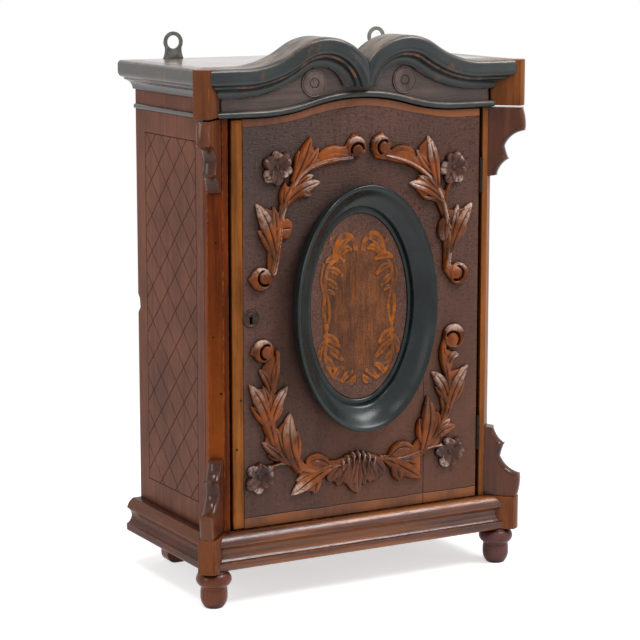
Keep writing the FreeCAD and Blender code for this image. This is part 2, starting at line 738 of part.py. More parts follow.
def cornice_profile(face, sign):
    """Cornice section outside a face, with the projection counted along sign."""
    turn = 1 if sign > 0 else -1
    rows = [
        (0, 0),
        (S.cornice_nose - 4.2, 0),
        (S.cornice_nose, S.cornice_height * 0.17, 5.2),
        (S.cornice_nose, S.cornice_height * 0.36),
        (S.cornice_nose - 3.2, S.cornice_height * 0.55, 7.5),
        (S.cornice_step, S.cornice_height * 0.6),
        (S.cornice_step, S.cornice_height * 0.655),
        (S.cornice_fillet, S.cornice_height * 0.71),
        (S.cornice_foot, S.cornice_height * 0.985, -11),
        (S.cornice_foot, S.cornice_height),
        (0, S.cornice_height),
    ]
    return [(face + reach * sign, cornice_top - drop, *[-bend * turn for bend in bends])
            for reach, drop, *bends in rows]


for name, hand in (("left", LEFT), ("right", RIGHT)):
    half_front = new_body("front_cornice_" + name)
    path = [
        (run_end, cornice_top),
        (sweep_x, cornice_top),
        (knee_x, knee_z, -S.sweep_radius),
        (S.arch_offset - S.arch_radius, arch_level, S.arch_radius),
    ]
    valley_cut = cornice_top - S.valley_drop
    arch_inside = S.arch_offset - (S.arch_radius - S.cornice_height) / 2
    low = arch_level - TRIM
    high = cornice_top + TRIM
    middle_cut = [(-TRIM, low), (arch_inside, low), (arch_inside, valley_cut), (0, valley_cut), (0, high), (-TRIM, high)]
    profile = cornice_profile(-front, -1)
    if hand == LEFT:
        path = mirror(path)
        middle_cut = mirror(middle_cut)
    swept(half_front, profile, SIDE, run_end * hand, path, front)
    cut(half_front, FRONT, front - 1, S.cornice_nose + 2, middle_cut)
    trim_front(half_front, hand, block_thick, block_shift, cornice_bottom - 1, S.cornice_height + 2)
    side = new_body(name + "_cornice")
    pad(side, FRONT, 0, front + TRIM / 2, cornice_profile(half * hand, hand))
    trim_side(side, hand, block_thick, block_shift, cornice_bottom, S.cornice_height)

# Diagonal blocks and brackets on the canted corners. Their local X runs outward from the canted face.
upper_top = cornice_top - S.cornice_block_height - S.bracket_gap
NOSE_RISE = 0.26
CUT_RISE = 0.335
CUT_INSET = 0.9


def bracket_outline(start, height, sign):
    """Scalloped outline from the wide end of a bracket to its tip, upward or downward by sign."""
    nose_rise = height * NOSE_RISE
    cut_rise = height * (CUT_RISE - NOSE_RISE)
    lip_radius = (S.bracket_lip * S.bracket_lip + nose_rise * nose_rise) / (S.bracket_lip * 2)
    cut_radius = (cut_rise * cut_rise + CUT_INSET * CUT_INSET) / (CUT_INSET * 2)
    return [
        (0, start),
        (S.bracket_reach - S.bracket_lip, start),
        (S.bracket_reach, start + nose_rise * sign, lip_radius * sign),
        (S.bracket_reach - CUT_INSET, start + height * CUT_RISE * sign, cut_radius * sign),
        (S.bracket_waist, start + height * 0.56 * sign, height * -0.37 * sign),
        (S.bracket_cusp, start + height * 0.75 * sign, height * -0.7 * sign),
        (S.bracket_tip, start + height * 0.99 * sign, height * -0.35 * sign),
        (0, start + height * sign),
    ]


upper_outline = bracket_outline(upper_top, S.bracket_height, -1)
lower_outline = bracket_outline(base_top, S.lower_bracket_height, 1)


def corner_block(label, hand, thickness, shift, bottom, height):
    body = new_body(label, (corner_x * hand, corner_depth, 0), (0, 0, 1), -45 if hand == RIGHT else -135)
    middle = shift * hand
    side = thickness / 2
    bulge = S.block_nose
    nose_radius = (side * side + bulge * bulge) / (bulge * 2)
    outline = [
        (0, middle - side),
        (S.block_reach, middle - side),
        (S.block_reach, middle + side, nose_radius),
        (0, middle + side),
    ]
    return pad(body, PLAN, bottom, height, outline)


def bracket(label, hand, outline):
    body = new_body(label, (corner_x * hand, corner_depth, 0), (0, 0, 1), -45 if hand == RIGHT else -135)
    pad(body, FRONT, -(S.bracket_thickness / 2), S.bracket_thickness, outline)


block_bottom = cornice_top - S.cornice_block_height
foot_x = corner_x + S.foot_offset * ROOT_HALF
foot_depth = corner_depth + S.foot_offset * ROOT_HALF
neck = S.foot_body_radius * 0.94
foot_profile = [
    (0, 0),
    (S.foot_pad_radius, 0),
    (S.foot_body_radius, S.foot_height * 0.34, 20),
    (neck, S.foot_height * 0.565, 40),
    (S.foot_collar_radius, S.foot_height * 0.75, 11),
    (neck, S.foot_height * 0.965, 11),
    (neck, S.foot_height),
    (S.foot_spigot_radius, S.foot_height),
    (S.foot_spigot_radius, S.foot_height + S.foot_spigot_length),
    (0, S.foot_height + S.foot_spigot_length),
]
for name, hand in (("left", LEFT), ("right", RIGHT)):
    corner_block(name + "_cornice_block", hand, block_thick, block_shift, block_bottom, S.cornice_block_height)
    bracket(name + "_upper_bracket", hand, upper_outline)
    bracket(name + "_lower_bracket", hand, lower_outline)
    base = corner_block(name + "_base_block", hand, S.base_block_thickness, 0, base_bottom, S.base_height)
    socket = (S.foot_offset, 0, S.foot_spigot_radius + S.spigot_clearance)
    cut(base, PLAN, base_bottom, S.foot_spigot_length + S.spigot_clearance, socket)
    turned(new_body(name + "_front_foot", (foot_x * hand, foot_depth, 0)), foot_profile)

# Base moulding on three sides.


def base_profile(face, sign):
    """Base section outside a face, with the projection counted along sign."""
    turn = 1 if sign > 0 else -1
    rows = [
        (0, 1),
        (S.base_top_reach, 1),
        (S.base_nose_reach, 0.76, 17),
        (S.base_nose_reach, 0.7),
        (S.base_nose_reach - 1.2, 0.69),
        (S.base_cove_reach, 0.47, -13),
        (S.base_nose_reach - 1.2, 0.255, -13),
        (S.base_foot_reach, 0.23),
        (S.base_foot_reach, 0.045),
        (S.base_foot_reach - 1.6, 0),
        (0, 0),
    ]
    return [(face + reach * sign, base_bottom + S.base_height * share, *[-bend * turn for bend in bends])
            for reach, share, *bends in rows]


base_front = new_body("front_base_moulding")
pad(base_front, SIDE, -run_end, run_end * 2, base_profile(-front, -1))
for name, hand in (("left", LEFT), ("right", RIGHT)):
    trim_front(base_front, hand, S.base_block_thickness, 0, base_bottom, S.base_height)
    side = new_body(name + "_base_moulding")
    pad(side, FRONT, 0, front + TRIM / 2, base_profile(half * hand, hand))
    trim_side(side, hand, S.base_block_thickness, 0, base_bottom, S.base_height)

# Rear feet under the rear rail, rounded at the lower outer corner.
rear_outer = half - S.rear_foot_inset
round_off = S.rear_foot_width / 2
rear_outline = [
    (rear_outer - S.rear_foot_width, 0),
    (rear_outer - round_off, 0),
    (rear_outer, round_off, round_off),
    (rear_outer, base_bottom),
    (rear_outer - S.rear_foot_width, base_bottom),
]
rear_feet = [
    pad(new_body("left_rear_foot"), FRONT, 0, S.rail_depth, mirror(rear_outline)),
    pad(new_body("right_rear_foot"), FRONT, 0, S.rail_depth, rear_outline),
]
group("rear_feet", rear_feet)

# Shelf on two cleats.
shelf_bottom = base_top + S.case_height * S.shelf_share
shelf_half = inner - S.shelf_clearance
shelf_front = frame_back - S.shelf_setback
box_piece("shelf", -shelf_half, shelf_half, S.back_thickness, shelf_front,
          shelf_bottom, shelf_bottom + S.shelf_thickness)
cleats = []
for name, hand in (("left", LEFT), ("right", RIGHT)):
    near = inner - S.cleat_size if hand == RIGHT else -inner
    cleats.append(box_piece(name + "_cleat", near, near + S.cleat_size, S.back_thickness, shelf_front,
                            shelf_bottom - S.cleat_size, shelf_bottom))
group("shelf_cleats", cleats)

# Door stop in the corner between the left side panel and the left post.
stop_front = door_back - S.stop_clearance
stop_edge = door_left + S.stop_lap
stop_rear = frame_back - S.stop_depth
stop_plan = [
    (-inner, -stop_rear),
    (-inner, -frame_back),
    (-opening, -frame_back),
    (-opening, -stop_front),
    (stop_edge, -stop_front),
    (stop_edge, -stop_rear),
]
stop_top = frieze_bottom - S.stop_inset
pad(new_body("door_stop"), PLAN, stop_top - S.stop_height, S.stop_height, stop_plan)

# Door of two boards and an edge strip, with the lock let into its back.
lock_bottom = key_level + S.lock_rise - S.lock_height / 2
lock_top = lock_bottom + S.lock_height
lock_right = door_left + S.lock_width
joint = S.joint_offset
joint_run = S.bead_run - joint
joint_top = door_top + bead_radius - (bead_radius * bead_radius - joint_run * joint_run).root()
top_line = serpentine(door_top)


def lock_room(body, left, right):
    """Recess of the lock cover and mortise of the lock case in the back of the door."""
    recess = block(left, lock_bottom - S.lock_flange, right, lock_top + S.lock_flange)
    cut(body, FRONT, door_back, S.lock_wall, recess)
    cut(body, FRONT, door_back + S.lock_wall, S.lock_depth, block(left, lock_bottom, right, lock_top))


def keyhole(body, start, length):
    """Round hole with a slot below it."""
    slit = S.keyhole_radius * 0.6
    cut(body, FRONT, start, length, (key_x, key_level, S.keyhole_radius))
    cut(body, FRONT, start, length, block(key_x - slit, key_level - S.keyhole_length, key_x + slit, key_level))


edge_strip = new_body("door_edge_strip")
pad(edge_strip, FRONT, door_back, S.door_thickness, block(door_left, door_bottom, strip_right, door_top))
lock_room(edge_strip, door_left, strip_right)
left_board = new_body("door_left_board")
left_outline = [(joint, door_bottom), (joint, joint_top), (S.bead_run / 2, top_line[2][1], -bead_radius)]
left_outline += [(-S.bead_run / 2, top_line[1][1], bead_radius), (-S.bead_run, door_top, -bead_radius)]
left_outline += [(strip_right, door_top), (strip_right, door_bottom)]
pad(left_board, FRONT, door_back, S.door_thickness, left_outline)
lock_room(left_board, strip_right, lock_right)
keyhole(left_board, door_back + S.lock_wall + S.lock_depth, S.door_thickness - S.lock_wall - S.lock_depth)
right_board = new_body("door_right_board")
right_outline = [(joint, door_bottom), (door_right, door_bottom), (door_right, door_top)]
right_outline += [(S.bead_run, door_top), (joint, joint_top, -bead_radius)]
pad(right_board, FRONT, door_back, S.door_thickness, right_outline)

# Two battens across the back of the door.
batten_left = door_left + S.batten_left_inset
batten_right = door_right - S.batten_right_inset
batten_back = door_back - S.batten_thickness
battens = []
for name, bottom in (
    ("lower", door_bottom + S.batten_inset),
    ("upper", door_top - S.batten_inset - S.batten_height),
):
    outline = block(batten_left, bottom, batten_right, bottom + S.batten_height)
    batten = pad(new_body(name + "_batten"), FRONT, batten_back, S.batten_thickness, outline)
    level = bottom + S.batten_height / 2
    for number, x in enumerate((batten_left + 25, joint - 25, joint + 20, batten_right - 14), start=1):
        screw_seat(batten, FRONT, batten_back, 1, x, level, S.batten_thickness)
        spot = (x, batten_back, level)
        door_screws.append(screw(f"{name}_batten_screw_{number}", spot, *FORWARD, S.batten_screw_length))
    battens.append(batten)
group("door_battens", battens)

# Lock: a tray let into the door, its cover, and the bolt that slides out at the left.
wall = S.lock_wall
tray_back = door_back + wall
lock_case = new_body("lock_case")
pad(lock_case, FRONT, tray_back, S.lock_depth, block(door_left, lock_bottom, lock_right, lock_top))
room = block(door_left + wall, lock_bottom + wall, lock_right - wall, lock_top - wall)
cut(lock_case, FRONT, tray_back, S.lock_depth - wall, room)
cut(lock_case, SIDE, door_left, wall, slot)
keyhole(lock_case, tray_back + S.lock_depth - wall, wall)
lock_cover = new_body("lock_cover")
cover = block(door_left, lock_bottom - S.lock_flange, lock_right, lock_top + S.lock_flange)
pad(lock_cover, FRONT, door_back, wall, cover)
for number, (x, level) in enumerate((
    (door_left + S.strip_width / 2, lock_bottom - S.lock_flange / 2),
    (lock_right - S.strip_width / 2, lock_bottom - S.lock_flange / 2),
    (door_left + S.strip_width / 2, lock_top + S.lock_flange / 2),
    (lock_right - S.strip_width / 2, lock_top + S.lock_flange / 2),
), start=1):
    screw_seat(lock_cover, FRONT, door_back, 1, x, level, wall)
    door_screws.append(screw(f"lock_screw_{number}", (x, door_back, level), *FORWARD, S.screw_length))
group("door_screws", door_screws)
bolt_left = door_left + S.bolt_inset
box_piece("lock_bolt", bolt_left, bolt_left + S.bolt_length, bolt_rear, bolt_rear + S.bolt_thickness,
          bolt_level - S.bolt_height / 2, bolt_level + S.bolt_height / 2)
escutcheon = new_body("escutcheon")
pad(escutcheon, FRONT, front, S.escutcheon_reach, (key_x, key_level, S.escutcheon_radius))
keyhole(escutcheon, front, S.escutcheon_reach)

# Oval frame of four tangent arcs, and the panel inside it.
oval_level = door_bottom + door_height * S.oval_level_share
oval_half_width = door_width * S.oval_width_share
oval_half_height = door_height * S.oval_height_share
oval_end_radius = oval_half_width * S.oval_end_share


def oval(inset):
    """Oval outline inside the outer edge by an inset, from the lower right, counter-clockwise."""
    wide = oval_half_width
    ends = oval_end_radius
    rise = oval_half_height - ends
    sides = (wide * wide + rise * rise - ends * ends) / ((wide - ends) * 2)
    share = (sides - inset) / (sides - ends)
    x = wide - sides + (sides - wide) * share
    z = rise * share
    return [
        (x, oval_level - z, ends - inset),
        (x, oval_level + z, sides - inset),
        (-x, oval_level + z, ends - inset),
        (-x, oval_level - z, sides - inset),
    ]


width = S.oval_frame_width
lip = S.oval_lip_width
crest_y = front + S.oval_frame_reach
outside = oval_half_width
frame_profile = [
    (outside - width, -front),
    (outside, -front),
    (outside, -(front + S.oval_frame_reach * 0.6)),
    (outside - width * 0.22, -crest_y, -6.5),
    (outside - width * 0.34, -(front + S.oval_frame_reach * 0.9), -5),
    (outside - width + lip, -(front + S.oval_quirk_reach), 34),
    (outside - width, -(front + S.oval_quirk_reach * 0.6), -5),
]
oval_frame = new_body("oval_frame")
swept(oval_frame, frame_profile, PLAN, oval_level, oval(0), front, True)
panel_edge = oval(width + S.oval_clearance)
pad(new_body("oval_panel"), FRONT, front, S.oval_panel_thickness, panel_edge)

# Carved ornament planted on the door: outlines are (x, height) points, with the heights from the floor,
# that stretch with the door and keep their margins to its edges.
UPPER_LEFT = (
    (-16, 505), (-1, 507), (7, 519), (2, 532), (-10, 536), (-21, 522), (-44, 521), (-56, 509), (-66, 532),
    (-78, 515), (-92, 479), (-99, 482), (-108, 451), (-135, 460), (-125, 439), (-131, 429), (-122, 409),
    (-122, 387), (-137, 388), (-147, 376), (-139, 364), (-122, 365), (-110, 381), (-105, 418), (-94, 419),
    (-92, 438), (-102, 444), (-89, 463), (-68, 467), (-54, 481), (-66, 488), (-83, 480), (-66, 495),
    (-44, 501),
)
UPPER_RIGHT = (
    (20, 505), (13, 517), (17, 531), (30, 536), (38, 525), (39, 515), (50, 517), (69, 518), (75, 506),
    (80, 517), (91, 526), (96, 509), (103, 486), (109, 469), (117, 462), (122, 441), (130, 439), (152, 443),
    (146, 421), (129, 401), (124, 375), (144, 370), (153, 360), (144, 349), (127, 351), (115, 367),
    (113, 403), (108, 413), (112, 431), (103, 449), (84, 456), (69, 473), (82, 482), (92, 481), (71, 494),
    (44, 500),
)
LOWER_LEFT = (
    (-111, 281), (-117, 296), (-128, 304), (-142, 298), (-145, 289), (-136, 283), (-123, 283), (-131, 270),
    (-124, 248), (-145, 252), (-140, 228), (-125, 192), (-127, 182), (-121, 169), (-102, 162), (-81, 143),
    (-89, 120), (-62, 119), (-44, 140), (-26, 144), (-26, 154), (-46, 155), (-58, 163), (-73, 154),
    (-83, 167), (-84, 190), (-93, 215), (-109, 200), (-112, 186), (-115, 204), (-102, 224), (-98, 245),
    (-116, 240), (-111, 260),
)
LOWER_RIGHT = (
    (112, 274), (116, 295), (130, 303), (143, 297), (146, 286), (133, 282), (123, 286), (120, 273),
    (135, 266), (127, 245), (149, 248), (143, 228), (128, 202), (123, 185), (131, 178), (113, 163),
    (110, 155), (85, 144), (84, 119), (60, 121), (43, 140), (26.5, 143), (26.5, 153), (42, 152), (56, 162),
    (69, 156), (82, 170), (84, 190), (93, 215), (108, 196), (109, 184), (114, 200), (107, 226), (101, 243),
    (116, 238), (117, 254),
)
PALMETTE = (
    (-23, 152), (-18, 159), (-6, 158), (6, 155), (18, 154), (24, 148), (25, 138), (32, 126), (21, 124),
    (14, 120), (6, 127), (-1, 112), (-5, 109), (-12, 114), (-18, 122), (-24, 126), (-38, 127), (-31, 138),
    (-24, 146),
)
FLOWERS = (("upper_left", -109, 501), ("upper_right", 128, 489), ("lower_left", -132, 144), ("lower_right", 126, 145))
drawn = [*UPPER_LEFT, *UPPER_RIGHT, *LOWER_LEFT, *LOWER_RIGHT, *PALMETTE]
drawn_half = max(abs(x) for x, z in drawn)
drawn_foot = min(z for x, z in drawn)
drawn_head = max(z for x, z in drawn)
stretch_x = (door_width / 2 - S.carving_margin) / drawn_half
stretch_z = (door_height - S.carving_foot - S.carving_head) / (drawn_head - drawn_foot)


def on_door(x, z):
    return (x * stretch_x, door_bottom + S.carving_foot + (z - drawn_foot) * stretch_z)


def carved(label, points, thickness):
    return pad(new_body(label), FRONT, front, thickness, [on_door(x, z) for x, z in points])


carved("upper_left_spray", UPPER_LEFT, S.spray_reach)
carved("upper_right_spray", UPPER_RIGHT, S.spray_reach)
carved("lower_left_spray", LOWER_LEFT, S.spray_reach)
carved("lower_right_spray", LOWER_RIGHT, S.spray_reach)
carved("centre_palmette", PALMETTE, S.palmette_reach)
flowers = []
for name, x, z in FLOWERS:
    middle = on_door(x, z)
    radius = door_width * S.flower_share
    petals = []
    for petal in range(5):
        angle = math.radians(90 + 72 * petal)
        spot = (middle[0] + radius * math.cos(angle), middle[1] + radius * math.sin(angle))
        petals.append((*spot, radius * 0.66))
    flowers.append(pad(new_body(name + "_flower"), FRONT, front, S.flower_reach, petals))
group("carved_flowers", flowers)

# Build, test every piece and write it.
doc.recompute()
for thing in doc.Objects:
    if "Invalid" in thing.State or "Error" in thing.State:
        raise RuntimeError(f"{thing.Label} did not build")
    if thing.TypeId == "PartDesign::Pocket" and thing.Shape.Volume > thing.BaseFeature.Shape.Volume - 0.01:
        raise RuntimeError(f"{thing.Label} cuts nothing")
    if thing.TypeId == "Sketcher::SketchObject" and thing.solve() != 0:
        raise RuntimeError(f"{thing.Label} is not solved")
os.makedirs("parts", exist_ok=True)
for label, piece in nodes.items():
    if piece.Shape.isNull() or not piece.Shape.isValid() or not piece.Shape.Solids:
        raise RuntimeError(f"{label} is not a valid solid")
    piece.Shape.exportStep(f"parts/{label}.step")
whole = Part.makeCompound([piece.Shape for piece in nodes.values()]).BoundBox
print(len(nodes), "pieces", [round(edge, 3) for edge in (whole.XLength, whole.YLength, whole.ZLength)])
print("centre and floor", [round(edge, 4) for edge in (whole.Center.x, whole.Center.y, whole.ZMin)])
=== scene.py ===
"""Looks of a carved hanging wall cabinet: grained wood, black mouldings, carving and a medallion."""

import json
import math

import bmesh
import bpy
import numpy as np
from bpy.props import FloatProperty, FloatVectorProperty, PointerProperty
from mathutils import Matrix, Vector

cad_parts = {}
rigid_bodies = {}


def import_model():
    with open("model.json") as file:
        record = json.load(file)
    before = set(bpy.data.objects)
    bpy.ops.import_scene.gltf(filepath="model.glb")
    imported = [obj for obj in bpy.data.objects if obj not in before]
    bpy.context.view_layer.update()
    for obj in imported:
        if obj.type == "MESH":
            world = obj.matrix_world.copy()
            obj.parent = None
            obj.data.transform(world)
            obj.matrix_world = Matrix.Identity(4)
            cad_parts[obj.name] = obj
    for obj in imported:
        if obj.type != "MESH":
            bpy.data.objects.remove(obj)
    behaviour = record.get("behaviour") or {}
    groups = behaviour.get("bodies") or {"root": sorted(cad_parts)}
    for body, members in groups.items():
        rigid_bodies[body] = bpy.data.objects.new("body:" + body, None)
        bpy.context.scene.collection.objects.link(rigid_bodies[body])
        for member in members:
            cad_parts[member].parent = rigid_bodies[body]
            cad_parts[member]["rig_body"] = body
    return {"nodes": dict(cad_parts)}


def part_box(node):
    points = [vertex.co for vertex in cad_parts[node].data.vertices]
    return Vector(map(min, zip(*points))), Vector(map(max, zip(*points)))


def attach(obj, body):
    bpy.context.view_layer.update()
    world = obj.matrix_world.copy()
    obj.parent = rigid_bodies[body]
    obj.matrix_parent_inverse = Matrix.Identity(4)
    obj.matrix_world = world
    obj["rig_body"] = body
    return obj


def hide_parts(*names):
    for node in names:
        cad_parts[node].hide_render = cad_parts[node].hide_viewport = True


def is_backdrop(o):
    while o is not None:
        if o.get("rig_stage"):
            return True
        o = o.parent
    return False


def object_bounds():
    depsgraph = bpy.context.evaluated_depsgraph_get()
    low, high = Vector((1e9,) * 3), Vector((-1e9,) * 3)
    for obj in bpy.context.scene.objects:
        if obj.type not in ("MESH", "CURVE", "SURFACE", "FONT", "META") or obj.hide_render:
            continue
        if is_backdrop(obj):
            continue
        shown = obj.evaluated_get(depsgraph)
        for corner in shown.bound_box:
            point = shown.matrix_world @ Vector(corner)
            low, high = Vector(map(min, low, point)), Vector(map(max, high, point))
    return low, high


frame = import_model()
cad_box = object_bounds()

bl_info = {
    "name": "Carved wall cabinet",
    "version": (1, 0, 0),
    "blender": (4, 5, 0),
    "location": "View3D > Sidebar > Cabinet",
    "description": "Builds the looks of a carved hanging wall cabinet",
    "category": "Object",
}

MM = 0.001
WELD = 1e-6  # corners nearer to each other than this are one
NEAR = 1e-5  # places nearer to each other than this count as the same
SHARP = math.radians(32)  # edges with a greater angle are rounded
FLAT = math.radians(0.6)  # faces with a smaller angle between them are one
DOOR_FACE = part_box("door_left_board")[0].y
DOOR_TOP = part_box("door_edge_strip")[1].z
DOOR_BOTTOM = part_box("door_edge_strip")[0].z
DOOR_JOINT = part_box("door_right_board")[0].x
FORWARD = Vector((0, -1, 0))


def stain(red, green, blue):
    """Colour written as it looks on a screen, 0 to 255, as the linear values of a shader."""
    shares = (red / 255, green / 255, blue / 255)
    return tuple(s / 12.92 if s <= 0.04045 else ((s + 0.055) / 1.055) ** 2.4 for s in shares)


def colour(name, description, *screen):
    default = stain(*screen)
    return FloatVectorProperty(
        name=name, description=description, default=default, subtype="COLOR", size=3, min=0, max=1
    )


def length(name, description, millimetres):
    return FloatProperty(
        name=name, description=description, unit="LENGTH", default=millimetres * MM, precision=5
    )


class CabinetColours(bpy.types.PropertyGroup):
    """Finishes of the cabinet."""

    side: colour("Side panels", "Stained wood of the lattice panels", 110, 68, 52)
    post: colour("Left post", "Dark polished wood of the left corner post", 100, 43, 15)
    right_post: colour("Right post", "Paler wood of the right corner post", 132, 77, 36)
    strip: colour("Edge strip", "Light wood of the door's lock edge", 132, 76, 30)
    ground: colour("Door ground", "Dark stippled wood behind the carving", 86, 58, 49)
    band: colour("Door bands", "Plain borders above and below the ground", 116, 71, 48)
    carved: colour("Carving", "Polished wood of the leaf sprays", 98, 48, 16)
    palmette: colour("Palmette", "Duller polish of the palmette", 92, 51, 31)
    # Painted highlight on the carving's tips, scroll tops and stem sides.
    tips: colour("Leaf tips", "Rubbed high places of the carving", 198, 172, 158)
    flower: colour("Flowers", "Dark polish of the flowers", 74, 41, 29)
    black: colour("Black mouldings", "Ebonised wood", 25, 33, 32)
    side_black: colour("Side mouldings", "Ebonised wood of the sides, faded to brown", 38, 33, 27)
    oval: colour("Oval frame", "Black polish of the oval frame", 21, 30, 29)
    rubbed: colour("Rubbed edges", "Bare wood where the finish is worn", 152, 88, 44)
    cornice_block: colour("Cornice blocks", "Wood of the upper corner blocks", 90, 50, 33)
    right_block: colour("Right cornice block", "Paler wood of the upper right block", 118, 67, 33)
    base_block: colour("Base blocks", "Wood of the lower corner blocks", 108, 58, 33)
    bracket: colour("Brackets", "Dark polish of the scalloped brackets", 88, 44, 27)
    base: colour("Base", "Wood of the base mouldings", 82, 44, 31)
    foot: colour("Feet", "Dark wood of the left and rear feet", 110, 57, 38)
    # Painted shade: a darker copy of the foot colour for the right front foot.
    right_foot: colour("Right foot", "Darker wood of the right front foot", 90, 57, 55)
    frieze: colour("Frieze", "Grey-brown wood under the cornice", 80, 65, 60)
    medallion: colour("Medallion ground", "Brown ground of the oval panel", 106, 62, 36)
    wreath: colour("Wreath", "Low relief on the oval panel", 154, 83, 16)
    inside: colour("Inside", "Unpolished wood inside and behind", 140, 104, 70)
    iron: colour("Iron", "Hinges and screws", 40, 36, 33)
    steel: colour("Steel", "Hangers", 116, 116, 112)
    brass: colour("Dark brass", "Lock and hinge pins", 84, 74, 62)
    bronze: colour("Bronze", "Dark escutcheon", 70, 55, 48)


class CabinetSizes(bpy.types.PropertyGroup):
    """Sizes of the details that the looks add."""

    rounding: length("Edge rounding", "Radius of softened wood edges", 0.8)
    block_rounding: length("Block rounding", "Radius of the upright edges of the corner blocks", 4.5)
    nose: length("Bracket nose", "Rounding along the scalloped edge of a bracket", 4.4)
    lattice_step: length("Lattice step", "Half a diamond of the lattice, front to back", 20.5)
    lattice_rise: length("Lattice rise", "Half a diamond of the lattice, upwards", 21)
    groove_width: length("Groove width", "Scribed lattice line", 1.5)
    groove_depth: length("Groove depth", "Scribed lattice line", 0.8)
    net: length("Carving net", "Spacing of the points on carved faces", 0.7)
    oval_inner_width: length("Oval opening", "Half the width of the frame's opening", 65.6)
    oval_inner_height: length("Oval opening height", "Half the height of the frame's opening", 110)
    oval_outer_width: length("Oval frame", "Half the width of the oval frame", 94.2)
    oval_outer_height: length("Oval frame height", "Half the height of the oval frame", 145)


class Value:
    """Number that varies over a surface, written in sums like any number."""

    def __init__(self, paint, socket):
        self.paint = paint
        self.socket = socket

    def other(self, out):
        """Another output of the same node."""
        return Value(self.paint, self.socket.node.outputs[out])

    def sum(self, operation, *values):
        return self.paint.node("ShaderNodeMath", {"operation": operation}, dict(enumerate(values)))

    def __add__(self, other):
        return self.sum("ADD", self, other)

    def __sub__(self, other):
        return self.sum("SUBTRACT", self, other)

    def __rsub__(self, other):
        return self.sum("SUBTRACT", other, self)

    def __mul__(self, other):
        return self.sum("MULTIPLY", self, other)

    def __truediv__(self, other):
        return self.sum("DIVIDE", self, other)

    def __rtruediv__(self, other):
        return self.sum("DIVIDE", other, self)

    def __abs__(self):
        return self.sum("ABSOLUTE", self)

    __radd__ = __add__
    __rmul__ = __mul__

    def least(self, other):
        return self.sum("MINIMUM", self, other)

    def most(self, other):
        return self.sum("MAXIMUM", self, other)

    def cosine(self):
        return self.sum("COSINE", self)

    def between(self, low, high):
        """0 below low, 1 above high, smooth between."""
        return self.paint.node(
            "ShaderNodeMapRange",
            {"interpolation_type": "SMOOTHSTEP"},
            {"Value": self, "From Min": low, "From Max": high},
        )


class Paint:
    """Nodes of one material, or of the world."""

    def __init__(self, owner):
        owner.use_nodes = True
        self.owner = owner
        self.body = None
        self.tree = owner.node_tree
        self.tree.nodes.clear()

    def node(self, kind, settings=None, values=None, out=0):
        node = self.tree.nodes.new(kind)
        for key, setting in (settings or {}).items():
            if key == "stops":
                while len(node.color_ramp.elements) < len(setting):
                    node.color_ramp.elements.new(0.5)
                for element, (place, shade) in zip(node.color_ramp.elements, setting):
                    element.position = place
                    element.color = (*shade, 1)
            else:
                setattr(node, key, setting)
        for key, value in (values or {}).items():
            socket = node.inputs[key]
            if isinstance(value, Value):
                self.tree.links.new(value.socket, socket)
            elif socket.type == "RGBA" and len(value) == 3:
                socket.default_value = (*value, 1)
            else:
                socket.default_value = value
        return Value(self, node.outputs[out]) if node.outputs else None

    def place(self):
        return self.node("ShaderNodeTexCoord", out="Object")

    def axis(self, vector, name):
        return self.node("ShaderNodeSeparateXYZ", None, {"Vector": vector}, name)

    def facing(self, name):
        """Share of an axis in the way that the surface looks."""
        return self.axis(self.node("ShaderNodeNewGeometry", out="Normal"), name)

    def stretched(self, place, stretch):
        return self.node("ShaderNodeVectorMath", {"operation": "MULTIPLY"}, {0: place, 1: stretch})

    def noise(self, place, scale, detail, rough=0.55, twist=0.0):
        values = {"Scale": scale, "Detail": detail, "Roughness": rough, "Distortion": twist}
        return self.node("ShaderNodeTexNoise", None, {"Vector": place, **values}, "Fac")

    def mark(self, name):
        return self.node("ShaderNodeAttribute", {"attribute_name": name}, None, "Fac")

    def mix(self, share, first, second):
        settings = {"data_type": "RGBA", "clamp_factor": True}
        return self.node("ShaderNodeMix", settings, {0: share, 6: first, 7: second}, 2)

    def lay(self, share, shade):
        """Lays a colour over the body colour."""
        self.body = self.mix(share, self.body, shade)

    def tints(self, share, shade, *stops):
        """Darker and paler tints of a shade, given as places and factors."""
        stops = [(place, tinted(shade, factor)) for place, factor in stops]
        return self.node("ShaderNodeValToRGB", {"stops": stops}, {"Fac": share}, "Color")

    def bump(self, height, strength, distance):
        values = {"Height": height, "Strength": strength, "Distance": distance}
        return self.node("ShaderNodeBump", None, values, "Normal")

    def shade_and_grime(self, reach, deep=0.3, bare=0.92):
        """Painted shade, and dark tarnish on metal: 1 deep in corners and joints, 0 on bare faces."""
        clear = self.node("ShaderNodeAmbientOcclusion", {"samples": 6}, {"Distance": reach}, "AO")
        return 1 - clear.between(deep, bare)

    def seen(self):
        """1 for rays from the camera, off a gloss and through glass, 0 for light on things."""
        camera = self.node("ShaderNodeLightPath", out="Is Camera Ray")
        return camera.most(camera.other("Is Glossy Ray")).most(camera.other("Is Transmission Ray"))

    def finish(self, **values):
        """Surface of the body colour with the given values."""
        values["Base_Color"] = self.body
        values = {key.replace("_", " "): value for key, value in values.items()}
        surface = self.node("ShaderNodeBsdfPrincipled", None, values)
        self.node("ShaderNodeOutputMaterial", None, {"Surface": surface})
        return self.owner


def new_paint(name):
    return Paint(bpy.data.materials.new(name))


def tinted(shade, factor):
    return tuple(min(1.0, part * factor) for part in shade)


GRAIN = {"X": (0.05, 1, 1), "Y": (1, 0.05, 1), "Z": (1, 1, 0.05)}
ORANGE_FOOT = stain(150, 76, 22)
GREY_GROUND = stain(66, 56, 53)
GREY_RIM = stain(88, 68, 66)
GREY_SPECKS = stain(128, 106, 102)
